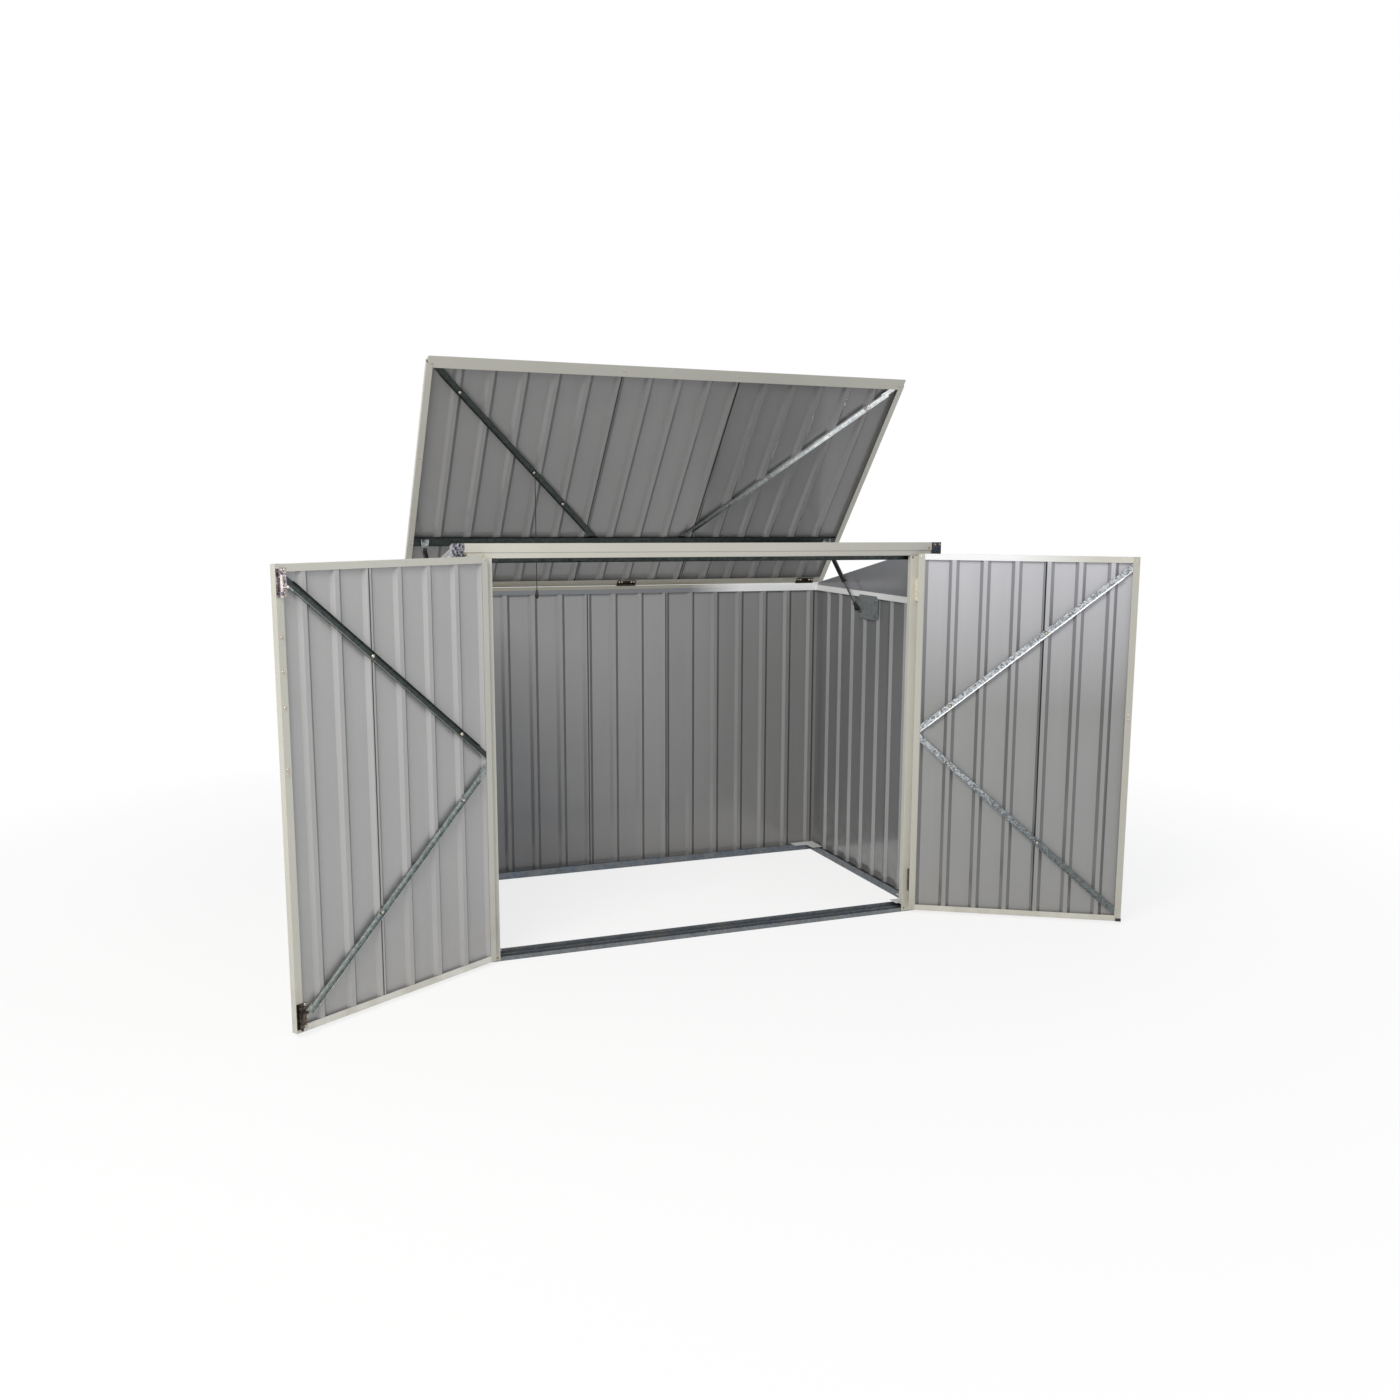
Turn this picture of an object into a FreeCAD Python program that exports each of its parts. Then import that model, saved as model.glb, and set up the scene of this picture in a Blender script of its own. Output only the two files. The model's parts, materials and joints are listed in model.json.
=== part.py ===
import FreeCAD, Part
import os
import re
import Sketcher

# Wheelie bin store: a roll-formed steel box on a base frame, with a pair of
# overlay doors and a lifting lid on two gas springs. X runs across the front,
# +Y to the back and +Z up. The origin lies on the ground, midway between the
# four anchor holes. The doors and the lid are drawn open, as the store stands.

# Driving sizes in millimetres. The roof's fall is a slope, angles are degrees.
SIZES = {
    # the whole store
    "width": 1676,
    "depth": 960,
    "front_height": 1310,
    "roof_fall": 0.2,
    "gauge": 0.6,
    "plate": 1,
    # roll-formed sheet: one rib in each pitch
    "rib_pitch": 105.5,
    "rib_foot": 36,
    "rib_crown": 14,
    "rib_rise": 9,
    # walls
    "wall_half_width": 822,
    "wall_back": 470,
    "wall_foot": 18,
    "wall_top": 1106,
    "side_first_rib": -270,
    "post_leg": 34,
    # base frame
    "rail_width": 45,
    "rail_step": 14,
    "rail_top": 18,
    "rail_lip": 26,
    "front_fold": 20,
    "side_fold": 14,
    "back_fold": 8,
    "hem_end": 810,
    "gusset_leg": 100,
    "gusset_arm": 45,
    "gusset_front": -458,
    "gusset_back": 458,
    "anchor_half_x": 600,
    "anchor_half_y": 449,
    "anchor_hole": 8,
    # rails along the top of the walls, and the gables on them
    "side_rail_outer": 826,
    "side_rail_top": 1108,
    "back_rail_outer": 479,
    "back_rail_top": 1114.8,
    "back_rail_bevel": 4,
    "top_rail_foot": 1086,
    "gable_inner": 819,
    "gable_flange": 12,
    "gable_front": -439.5,
    "gable_drop": 5,
    # front posts and header
    "door_opening": 1440,
    "jamb_depth": 40,
    "jamb_return": 20,
    "jamb_foot": 3,
    "jamb_foot_cut": 27,
    "header_half": 800,
    "header_depth": 40,
    "header_foot": 1265,
    "header_step": 1283,
    "header_recess": 2.5,
    "header_back_lip": 12,
    "header_lower_lip": 29.5,
    "header_cap_depth": 37,
    "channel_foot": 1250,
    "channel_head": 1296,
    "channel_flange": 17,
    # doors, measured from the hinge edge out and from the inner lip outwards
    "door_width": 735,
    "door_thickness": 20,
    "door_foot": 12,
    "door_head": 1272,
    "stile_lip": 22,
    "rail_face": 20,
    "sheet_edge": 2,
    "sheet_cut": 11,
    "sheet_play": 0.5,
    "door_edge_x": 736.6,
    "door_front_gap": 1.2,
    "door_first_rib": 122,
    "door_opened": 148,
    "pin_x": 739.8,
    "pin_y": -491.2,
    # butt hinges
    "pin_radius": 1.5,
    "pin_play": 0.05,
    "knuckle_radius": 3,
    "knuckle_play": 0.25,
    "leaf": 1.2,
    "hinge_height": 78,
    "hinge_low": 118,
    "hinge_high": 1150,
    "frame_leaf_width": 24,
    "frame_leaf_set": 0.6,
    # lid, measured up its slope from the hinge line and out of it
    "lid_hinge_y": 468,
    "lid_hinge_z": 1118.35,
    "lid_opened": 48.7,
    "lid_lip": 3.5,
    "lid_frame": 20,
    "lid_half_width": 845,
    "lid_side_lip": 20,
    "lid_length": 1007,
    "lid_side_end": 979,
    "lid_front_lip": 44.5,
    "lid_front_half": 841,
    "lid_nose": 20,
    "lid_rail_near": -6,
    "lid_rail_far": 22,
    "lid_sheet_drop": 18,
    "mid_rail_near": 203,
    "mid_rail_far": 240,
    "mid_rail_depth": 8,
    "lid_hinge_span": 760,
    "lid_hinge_width": 75,
    "lid_leaf_reach": 21,
    "back_leaf_reach": 10.5,
    # diagonal braces
    "brace_width": 21,
    "brace_depth": 8,
    "brace_tab": 28,
    "door_brace_near": 22.5,
    "door_brace_far": 712.5,
    "upper_brace_low": 668,
    "upper_brace_high": 1237,
    "lower_brace_high": 634,
    "lower_brace_low": 47,
    "lid_brace_near": 240.5,
    "lid_brace_far": 960.5,
    "lid_brace_inner": 172,
    "lid_brace_outer": 811,
    # gas springs, each measured along its own rod from the ball
    "spring_x": 790,
    "spring_foot_y": 50,
    "spring_foot_z": 1043,
    "spring_head_t": 210.7,
    "spring_head_n": -25.1,
    "spring_plate_reach": 80,
    "spring_plate_low": 1005,
    "spring_plate_high": 1095,
    "spring_plate_corner": 12,
    "ball_radius": 5,
    "ball_play": 0.3,
    "stem_radius": 3.5,
    "socket_radius": 9,
    "socket_half": 8,
    "socket_face": 7,
    "socket_mouth": 4.5,
    "socket_neck": 28,
    "socket_neck_radius": 7,
    "rod_radius": 4,
    "rod_end": 170,
    "piston_radius": 7.2,
    "piston_length": 8,
    "barrel_radius": 9,
    "barrel_bore": 7.5,
    "barrel_foot": 150,
    "barrel_guide": 8,
    "barrel_head": 326,
    "barrel_cap": 3,
    "barrel_neck": 5,
    "eye_radius": 8,
    "eye_inner": 6,
    "bracket_plate_x": 798.3,
    "bracket_flange": 18,
    "bracket_inset": 4,
    "stud_gap": 0.3,
    # slide bolts on the left door and the hasp on the right one
    "bolt_radius": 3.5,
    "bolt_play": 0.2,
    "bolt_d": 724,
    "bolt_n": -9.2,
    "bolt_hole": 9,
    "bolt_plate_near": 703,
    "bolt_plate_far": 734,
    "bolt_plate_end": 1262,
    "bolt_plate_height": 76,
    "keeper_radius": 5.5,
    "keeper_height": 10,
    "keeper_inset": 6,
    "bolt_length": 73,
    "bolt_retreat": 4,
    "knob_reach": 18,
    "knob_stem": 2,
    "knob_radius": 4.5,
    "knob_set": 27,
    "low_bolt_gap": 2,
    "low_bolt_plate": 94,
    "latch_height": 730,
    "hasp_axis_d": 731.5,
    "hasp_axis_n": 22.4,
    "hasp_radius": 2.2,
    "hasp_pin": 1,
    "hasp_reach": 36,
    "hasp_height": 34,
    "hasp_thickness": 1.5,
    "hasp_folded": 170,
    "slot_near": 18.9,
    "slot_far": 26,
    "slot_height": 22,
    "staple_d": 720.1,
    "staple_wire": 2,
    "staple_half": 7,
    "staple_rise": 9,
    "cap_wall": 1,
    "cap_reach": 18,
    "cap_height": 10,
    # pull cord, where it is tied to the left brace of the lid
    "cord_t": 540,
    "knot_radius": 4,
    "knot_gap": 0.3,
    "knot_flat": 3.7,
    "cord_radius": 1.5,
    "cord_length": 395,
    "toggle_length": 32,
    "toggle_radius": 6,
    "toggle_belly_top": 16,
    "toggle_belly_foot": 26,
}

doc = FreeCAD.newDocument("wheelie_bin_store")
sheet = doc.addObject("Spreadsheet::Sheet", "Sizes")
for row, (alias, number) in enumerate(SIZES.items(), start=1):
    sheet.set(f"A{row}", alias)
    sheet.set(f"B{row}", str(number))
    sheet.setAlias(f"B{row}", alias)
doc.recompute()

NODES = []


def bound(text):
    """The expression with each size's name written out as its cell."""
    return re.sub(
        r"[a-z_]+",
        lambda word: f"Sizes.{word[0]}" if word[0] in SIZES else word[0],
        str(text),
    )


def value(text):
    """What the expression comes to, in millimetres."""
    return float(sheet.evalExpression(bound(text)))


def node(label, item):
    """Name a finished sub-part; its label is its file's name."""
    item.Label = label
    NODES.append(item)
    return item


# Bodies: sketches on the body's own planes, with pads and pockets


def new_body():
    return doc.addObject("PartDesign::Body", "Body")


def attach(body, role, offset):
    """An empty sketch on one of the body's origin planes, offset along it."""
    sketch = body.newObject("Sketcher::SketchObject", "Outline")
    plane = next(p for p in body.Origin.OriginFeatures if p.Role == role)
    sketch.AttachmentSupport = [(plane, "")]
    sketch.MapMode = "FlatFace"
    sketch.setExpression("AttachmentOffset.Base.z", bound(offset))
    return sketch


def draw_polygon(sketch, points):
    """A closed outline whose corners are held by the sheet's expressions."""
    first = sketch.GeometryCount
    corners = [FreeCAD.Vector(value(x), value(y), 0) for x, y in points]
    count = len(corners)
    sides = [Part.LineSegment(corners[i], corners[(i + 1) % count]) for i in range(count)]
    sketch.addGeometry(sides)
    rules = []
    for i in range(count):
        follower = first + (i + 1) % count
        rules.append(Sketcher.Constraint("Coincident", first + i, 2, follower, 1))
    for i, corner in enumerate(corners):
        rules.append(Sketcher.Constraint("DistanceX", -1, 1, first + i, 1, corner.x))
        rules.append(Sketcher.Constraint("DistanceY", -1, 1, first + i, 1, corner.y))
    made = sketch.addConstraint(rules)
    for i, (x, y) in enumerate(points):
        sketch.setExpression(f"Constraints[{made[count + 2 * i]}]", bound(x))
        sketch.setExpression(f"Constraints[{made[count + 2 * i + 1]}]", bound(y))


def draw_circle(sketch, x, y, radius):
    centre = FreeCAD.Vector(value(x), value(y), 0)
    index = sketch.addGeometry(Part.Circle(centre, FreeCAD.Vector(0, 0, 1), value(radius)))
    rules = [
        Sketcher.Constraint("DistanceX", -1, 1, index, 3, centre.x),
        Sketcher.Constraint("DistanceY", -1, 1, index, 3, centre.y),
        Sketcher.Constraint("Radius", index, value(radius)),
    ]
    for number, text in zip(sketch.addConstraint(rules), (x, y, radius)):
        sketch.setExpression(f"Constraints[{number}]", bound(text))


def swept(body, kind, role, outlines, start, end, circles=()):
    """Pad or pocket of flat outlines between two distances along an axis of the body."""
    # the XZ plane looks along -Y
    sign = "-1" if role == "XZ_Plane" else "1"
    sketch = attach(body, role, f"{sign} * (({start}) + ({end})) / 2")
    for points in outlines:
        draw_polygon(sketch, points)
    for x, y, radius in circles:
        draw_circle(sketch, x, y, radius)
    feature = body.newObject(f"PartDesign::{kind}", kind)
    feature.Profile = sketch
    feature.Midplane = True
    feature.setExpression("Length", bound(f"({end}) - ({start})"))
    return feature


def pad(body, role, outline, start, end):
    return swept(body, "Pad", role, [outline], start, end)


def pocket(body, role, outlines, start, end, circles=()):
    """A cut whose removed volume is checked, so that it can't miss the piece."""
    doc.recompute()
    before = body.Shape.Volume
    swept(body, "Pocket", role, outlines, start, end, circles)
    doc.recompute()
    if not body.Shape.Volume < before:
        raise RuntimeError(f"{body.Name}: the pocket removes nothing")


def revolved(outline):
    """A body turned about Z from an outline of radius against height."""
    body = new_body()
    sketch = attach(body, "XZ_Plane", "0")
    draw_polygon(sketch, outline)
    feature = body.newObject("PartDesign::Revolution", "Revolution")
    feature.Profile = sketch
    feature.ReferenceAxis = (sketch, ["V_Axis"])
    feature.Angle = 360
    return body


def rectangle(x_low, y_low, x_high, y_high):
    return [(x_low, y_low), (x_high, y_low), (x_high, y_high), (x_low, y_high)]


# Solids: primitives bound to the sheet, and their booleans

AXES = {
    "x": FreeCAD.Rotation(FreeCAD.Vector(0, 1, 0), 90),
    "z": FreeCAD.Rotation(),
}


def locate(item, corner):
    for letter, text in zip("xyz", corner):
        item.setExpression(f"Placement.Base.{letter}", bound(text))


def block(low, high):
    """A box between two corners."""
    item = doc.addObject("Part::Box", "Block")
    for side, a, b in zip(("Length", "Width", "Height"), low, high):
        item.setExpression(side, bound(f"({b}) - ({a})"))
    locate(item, low)
    return item


def cylinder(axis, start, radius, length):
    """A cylinder from its start point, along x or z."""
    item = doc.addObject("Part::Cylinder", "Cylinder")
    item.setExpression("Radius", bound(radius))
    item.setExpression("Height", bound(length))
    item.Placement = FreeCAD.Placement(FreeCAD.Vector(), AXES[axis])
    locate(item, start)
    return item


def ball(axis, centre, radius):
    """A ball whose poles lie along x or z."""
    item = doc.addObject("Part::Sphere", "Ball")
    item.setExpression("Radius", bound(radius))
    item.Placement = FreeCAD.Placement(FreeCAD.Vector(), AXES[axis])
    locate(item, centre)
    return item


def fuse(*items):
    item = doc.addObject("Part::MultiFuse", "Fuse")
    item.Shapes = list(items)
    return item


def cut(base, *tools):
    item = doc.addObject("Part::Cut", "Cut")
    item.Base = base
    item.Tool = tools[0] if len(tools) == 1 else fuse(*tools)
    return item


def group(*items):
    """Several equal pieces that share one node, each its own solid."""
    item = doc.addObject("Part::Compound", "Group")
    item.Links = list(items)
    return item


def mirrored(source):
    """The same piece on the store's other side."""
    item = doc.addObject("Part::Mirroring", "Mirrored")
    item.Source = source
    item.Base = FreeCAD.Vector(0, 0, 0)
    item.Normal = FreeCAD.Vector(1, 0, 0)
    return item


def both_sides(source):
    return group(mirrored(source), source)


# Where the pieces stand

ACROSS = FreeCAD.Vector(1, 0, 0)
UP = FreeCAD.Vector(0, 0, 1)


def point(x, y, z):
    return FreeCAD.Vector(value(x), value(y), value(z))


def stand(item, base=("0", "0", "0"), axis=UP, angle=0, panel=None):
    """Place a finished piece, on the store or on one of its moving panels."""
    place = FreeCAD.Placement(point(*base), FreeCAD.Rotation(axis, angle))
    item.Placement = panel.multiply(place) if panel else place
    return item


def on_lid():
    """The lid's frame: X across, its -Y up the slope and its +Z out of the top."""
    return FreeCAD.Placement(
        point("0", "lid_hinge_y", "lid_hinge_z"), FreeCAD.Rotation(ACROSS, -value("lid_opened"))
    )


def on_door():
    """The right door's frame: X from its hinge edge out, +Y towards its outside."""
    turn = FreeCAD.Rotation(UP, 180 + value("door_opened"))
    pin = point("pin_x", "pin_y", "0")
    corner = turn.multVec(point("pin_x - door_edge_x", "pin_y + depth / 2 + door_front_gap", "0"))
    return FreeCAD.Placement(pin + corner, turn)


def spring_line():
    """The right gas spring's ball, and the vector from there to its head on the lid."""
    foot = point("spring_x", "spring_foot_y", "spring_foot_z")
    head = on_lid().multVec(point("spring_x", "-spring_head_t", "spring_head_n"))
    return foot, head - foot


def on_spring():
    """The right spring's frame: its +Z runs up the rod from the ball."""
    foot, reach = spring_line()
    return FreeCAD.Placement(foot, FreeCAD.Rotation(UP, reach))


# Roll-formed sheet

RUN = "((rib_foot - rib_crown) / 2)"
SLANT = f"sqrt({RUN}^2 + rib_rise^2)"
BEND = f"(gauge * ({SLANT} - {RUN}) / rib_rise)"


def rib_inner(centre):
    """The face of one rib that looks into the store, from left to right."""
    return [
        (f"{centre} - rib_foot / 2", "0"),
        (f"{centre} - rib_crown / 2", "-rib_rise"),
        (f"{centre} + rib_crown / 2", "-rib_rise"),
        (f"{centre} + rib_foot / 2", "0"),
    ]


def rib_outer(centre):
    """Its hollow side, one gauge behind, from right to left."""
    return [
        (f"{centre} + rib_foot / 2 - {BEND}", "gauge"),
        (f"{centre} + rib_crown / 2 - {BEND}", "gauge - rib_rise"),
        (f"{centre} - rib_crown / 2 + {BEND}", "gauge - rib_rise"),
        (f"{centre} - rib_foot / 2 + {BEND}", "gauge"),
    ]


def lap(centre, side, edge):
    """Side lap: this sheet climbs over its neighbour's last rib, as far as the rib's middle.

    side is 1 where this sheet lies on the rib's right and -1 on its left; edge is
    where its own first rib begins.
    """

    def at(offset):
        return f"{centre} + ({side}) * ({offset})"

    return [
        (at("0"), "-rib_rise"),
        (at("rib_crown / 2"), "-rib_rise"),
        (at("rib_foot / 2"), "0"),
        (at("rib_foot / 2"), "gauge"),
        (edge, "gauge"),
        (edge, "0"),
        (at(f"rib_foot / 2 + gauge * {SLANT} / rib_rise"), "0"),
        (at(f"rib_crown / 2 + {BEND}"), "-rib_rise - gauge"),
        (at("0"), "-rib_rise - gauge"),
    ]


def ribbed_sheet(
    first, ribs, length, left=None, right=None, lap_left=None, lap_right=None, cut_left=None
):
    """A sheet along X whose ribs rise towards -Y and run up Z.

    first is the first rib's middle. left and right are where a plain edge ends,
    lap_left and lap_right the middle of a neighbour's rib that this sheet laps over.
    cut_left is where the sheet was cut through the crown of one more rib on its left.
    A side with none of these stops at the foot of its last rib.
    """
    body = new_body()
    foot = f"{first} - rib_foot / 2"
    cell = rib_inner(first) + [(f"{foot} + rib_pitch", "0"), (f"{foot} + rib_pitch", "gauge")]
    cell += rib_outer(first) + [(foot, "gauge")]
    one_pitch = pad(body, "XY_Plane", cell, "0", length)
    if ribs > 2:
        row = body.newObject("PartDesign::LinearPattern", "Pitches")
        row.Originals = [one_pitch]
        row.Direction = (one_pitch.Profile[0], ["H_Axis"])
        row.setExpression("Length", bound(f"{ribs - 2} * rib_pitch"))
        row.Occurrences = ribs - 1
        body.Tip = row
    last = f"({first} + {ribs - 1} * rib_pitch)"
    last_foot = f"{last} + rib_foot / 2"
    end = rib_inner(last)
    if right:
        end += [(right, "0"), (right, "gauge")]
    else:
        end += [(last_foot, "gauge")]
    end += rib_outer(last) + [(f"{last} - rib_foot / 2", "gauge")]
    pad(body, "XY_Plane", end, "0", length)
    if left:
        pad(body, "XY_Plane", rectangle(left, "0", foot, "gauge"), "0", length)
    if cut_left:
        centre = f"{first} - rib_pitch"
        half_rib = [(cut_left, "-rib_rise")] + rib_inner(centre)[2:] + [(foot, "0"), (foot, "gauge")]
        half_rib += rib_outer(centre)[:2] + [(cut_left, "gauge - rib_rise")]
        pad(body, "XY_Plane", half_rib, "0", length)
    if lap_left:
        pad(body, "XY_Plane", lap(lap_left, "1", foot), "0", length)
    if lap_right:
        pad(body, "XY_Plane", lap(lap_right, "-1", last_foot), "0", length)
    return body


# Base frame


def base_rail(length, fold, holes_in=None):
    """Folded rail along X: front face, stepped top and a raised hem along its inner edge."""
    body = new_body()
    profile = [
        ("0", "0"),
        ("0", "rail_step"),
        (fold, "rail_step"),
        (fold, "rail_top"),
        ("rail_width - 2 * plate", "rail_top"),
        ("rail_width - 2 * plate", "rail_lip"),
        ("rail_width", "rail_lip"),
        ("rail_width", "0"),
        ("rail_width - plate", "0"),
        ("rail_width - plate", "rail_top - plate"),
        (f"{fold} + plate", "rail_top - plate"),
        (f"{fold} + plate", "rail_step - plate"),
        ("plate", "rail_step - plate"),
        ("plate", "0"),
    ]
    pad(body, "YZ_Plane", profile, f"-({length}) / 2", f"({length}) / 2")
    if holes_in:
        # the hem stops short where the side walls cross it
        ends = [
            rectangle("hem_end", "rail_top", "width", "rail_lip + plate"),
            rectangle("-width", "rail_top", "-hem_end", "rail_lip + plate"),
        ]
        pocket(body, "XZ_Plane", ends, "0", "rail_width + plate")
        anchors = [(x, holes_in, "anchor_hole / 2") for x in ("anchor_half_x", "-anchor_half_x")]
        pocket(body, "XY_Plane", [], "rail_top - 2 * plate", "rail_top + plate", anchors)
    return body


def base_frame():
    long = "width - 2 * plate"
    short = "depth - plate - 2 * rail_width"
    front = base_rail(long, "front_fold", "depth / 2 - plate - anchor_half_y")
    keeper_hole = ("bolt_d - door_edge_x", "-bolt_n - door_front_gap - plate", "bolt_hole / 2")
    pocket(front, "XY_Plane", [], "rail_step - 2 * plate", "rail_step + plate", [keeper_hole])
    node("base_rail_front", stand(front, ("0", "plate - depth / 2", "0")))
    back = base_rail(long, "back_fold", "depth / 2 - anchor_half_y")
    node("base_rail_back", stand(back, ("0", "depth / 2", "0"), UP, 180))
    right = base_rail(short, "side_fold")
    stand(right, ("width / 2 - plate", "plate / 2", "0"), UP, 90)
    node("base_rails_side", both_sides(right))


def base_gussets():
    """Bright L-shaped plates that tie the rails together, resting on their hems."""
    plates = []
    for y, turn in (("gusset_back", 180), ("gusset_front", 90)):
        body = new_body()
        outline = [
            ("0", "0"),
            ("gusset_leg", "0"),
            ("gusset_leg", "gusset_arm"),
            ("gusset_arm", "gusset_arm"),
            ("gusset_arm", "gusset_leg"),
            ("0", "gusset_leg"),
        ]
        pad(body, "XY_Plane", outline, "0", "leaf")
        stand(body, ("hem_end", y, "rail_lip"), UP, turn)
        plates += [mirrored(body), body]
    node("base_corner_plates", group(*plates))


# Walls


def back_wall():
    """Three sheets; the outer two carry the seam ribs and the middle one laps over both."""
    height = "wall_top - wall_foot"
    seam = "(1.5 * rib_pitch)"
    right = ribbed_sheet(seam, 7, height, right="wall_half_width + gauge")
    centre = ribbed_sheet("(-0.5 * rib_pitch)", 2, height, lap_left=f"-{seam}", lap_right=seam)
    for body in (right, centre):
        stand(body, ("0", "wall_back", "wall_foot"))
    node("back_sheet_left", mirrored(right))
    node("back_sheet_centre", centre)
    node("back_sheet_right", right)


def side_walls():
    """A short front sheet and a long rear one on each side, lapped at the second rib."""
    height = "wall_top - wall_foot"
    seam = "(side_first_rib + rib_pitch)"
    front = ribbed_sheet("side_first_rib", 2, height, left="plate - depth / 2 + gauge")
    rear = ribbed_sheet(f"({seam} + rib_pitch)", 5, height, right="wall_back", lap_left=seam)
    # drawn for the left wall, where the sheet's own X runs to the back
    for body in (front, rear):
        stand(body, ("-wall_half_width", "0", "wall_foot"), UP, 90)
    node("side_sheets_front", both_sides(front))
    node("side_sheets_rear", both_sides(rear))


def corner_posts():
    """Angles that close the back corners from outside."""
    x = "wall_half_width + gauge + plate"
    y = "wall_back + gauge + plate"
    body = new_body()
    outline = [
        (f"{x} - post_leg", y),
        (x, y),
        (x, f"{y} - post_leg"),
        (f"{x} - plate", f"{y} - post_leg"),
        (f"{x} - plate", f"{y} - plate"),
        (f"{x} - post_leg", f"{y} - plate"),
    ]
    pad(body, "XY_Plane", outline, "wall_foot", "wall_top")
    node("back_corner_posts", both_sides(body))


def top_rails():
    """Channels over the sheets' top edges; the back one is bevelled up to carry the lid."""
    y = "wall_back - rib_rise - gauge - plate"
    bevel = "(back_rail_top - side_rail_top)"
    body = new_body()
    profile = [
        (y, "top_rail_foot"),
        (y, "side_rail_top"),
        (f"{y} + back_rail_bevel", "back_rail_top"),
        ("back_rail_outer", "back_rail_top"),
        ("back_rail_outer", "top_rail_foot"),
        ("back_rail_outer - plate", "top_rail_foot"),
        ("back_rail_outer - plate", "back_rail_top - plate"),
        (f"{y} + back_rail_bevel + plate * back_rail_bevel / {bevel}", "back_rail_top - plate"),
        (f"{y} + plate", "side_rail_top - plate * back_rail_bevel / " + bevel),
        (f"{y} + plate", "top_rail_foot"),
    ]
    pad(body, "YZ_Plane", profile, "-wall_half_width", "wall_half_width")
    node("top_rail_back", body)
    x = "wall_half_width - rib_rise - gauge - plate"
    side = new_body()
    profile = [
        (x, "top_rail_foot"),
        (x, "side_rail_top"),
        ("side_rail_outer", "side_rail_top"),
        ("side_rail_outer", "top_rail_foot"),
        ("side_rail_outer - plate", "top_rail_foot"),
        ("side_rail_outer - plate", "side_rail_top - plate"),
        (f"{x} + plate", "side_rail_top - plate"),
        (f"{x} + plate", "top_rail_foot"),
    ]
    pad(side, "XZ_Plane", profile, "gable_front", y)
    node("top_rails_side", both_sides(side))


def gables():
    """Smooth tapered panels with flanges turned outwards, up to the roof's slope."""
    front = "gable_front"
    back = "wall_back - rib_rise - gauge - plate"
    outer = "gable_inner + gable_flange"

    def top(y):
        return f"front_height - gable_drop - roof_fall * ({y} + depth / 2)"

    body = new_body()
    panel = [
        (front, "side_rail_top"),
        (back, "side_rail_top"),
        (back, top(back)),
        (front, top(front)),
    ]
    pad(body, "YZ_Plane", panel, "gable_inner", "gable_inner + plate")
    foot = rectangle(front, "side_rail_top", back, "side_rail_top + plate")
    head = [
        (front, top(front)),
        (back, top(back)),
        (back, top(back) + " - plate"),
        (front, top(front) + " - plate"),
    ]
    nose = rectangle(front, "side_rail_top", f"{front} + plate", top(front) + " - plate")
    for flange in (foot, head, nose):
        pad(body, "YZ_Plane", flange, "gable_inner", outer)
    node("gable_right", body)
    node("gable_left", mirrored(body))


# Front frame


def jambs():
    """Posts beside the doors: wide front face, a return into the opening and one round the side."""
    inner = "door_opening / 2"
    outer = "width / 2"
    front = "-depth / 2"
    lip = "wall_half_width + gauge"
    body = new_body()
    profile = [
        (inner, f"{front} + jamb_return"),
        (inner, front),
        (outer, front),
        (outer, f"{front} + jamb_depth"),
        (lip, f"{front} + jamb_depth"),
        (lip, f"{front} + jamb_depth - plate"),
        (f"{outer} - plate", f"{front} + jamb_depth - plate"),
        (f"{outer} - plate", f"{front} + plate"),
        (f"{inner} + plate", f"{front} + plate"),
        (f"{inner} + plate", f"{front} + jamb_return"),
    ]
    pad(body, "XY_Plane", profile, "jamb_foot", "header_foot - plate / 2")
    # only the front face and the outer side reach down over the base rails
    foot = rectangle(
        f"{inner} - plate", f"{front} + plate", f"{outer} - plate", f"{front} + 2 * jamb_depth"
    )
    pocket(body, "XY_Plane", [foot], "0", "jamb_foot_cut")
    node("jamb_right", body)
    node("jamb_left", mirrored(body))


def header():
    """Folded beam over the doors, stepped back along its lower edge, its top on the roof's slope."""
    front = "-depth / 2"
    back = "(-depth / 2 + header_depth)"
    recess = "(-depth / 2 + header_recess)"
    drop = "roof_fall * header_depth"
    body = new_body()
    profile = [
        (back, f"front_height - {drop} - header_back_lip"),
        (back, f"front_height - {drop}"),
        (front, "front_height"),
        (front, "header_step"),
        (recess, "header_step - header_recess"),
        (recess, "header_foot"),
        (f"{recess} + header_lower_lip", "header_foot"),
        (f"{recess} + header_lower_lip", "header_foot + plate"),
        (f"{recess} + plate", "header_foot + plate"),
        (f"{recess} + plate", "header_step - header_recess + plate / 2"),
        (f"{front} + plate", "header_step + plate / 2"),
        (f"{front} + plate", "front_height - plate"),
        (f"{back} - plate", f"front_height - plate - {drop}"),
        (f"{back} - plate", f"front_height - {drop} - header_back_lip"),
    ]
    pad(body, "YZ_Plane", profile, "-header_half", "header_half")
    keeper_hole = ("bolt_d - door_edge_x", "-depth / 2 - door_front_gap - bolt_n", "bolt_hole / 2")
    pocket(body, "XY_Plane", [], "header_foot - plate", "header_foot + 2 * plate", [keeper_hole])
    node("header", body)


def header_channel():
    """Galvanised stiffener that hangs from the header's back lip."""
    back = "(-depth / 2 + header_depth - plate)"
    body = new_body()
    profile = [
        (f"{back} - plate", "channel_head"),
        (back, "channel_head"),
        (back, "channel_foot"),
        (f"{back} - channel_flange", "channel_foot"),
        (f"{back} - channel_flange", "channel_foot + plate"),
        (f"{back} - plate", "channel_foot + plate"),
    ]
    pad(body, "YZ_Plane", profile, "plate / 2 - gable_inner", "gable_inner - plate / 2")
    node("header_inner_channel", body)


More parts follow.
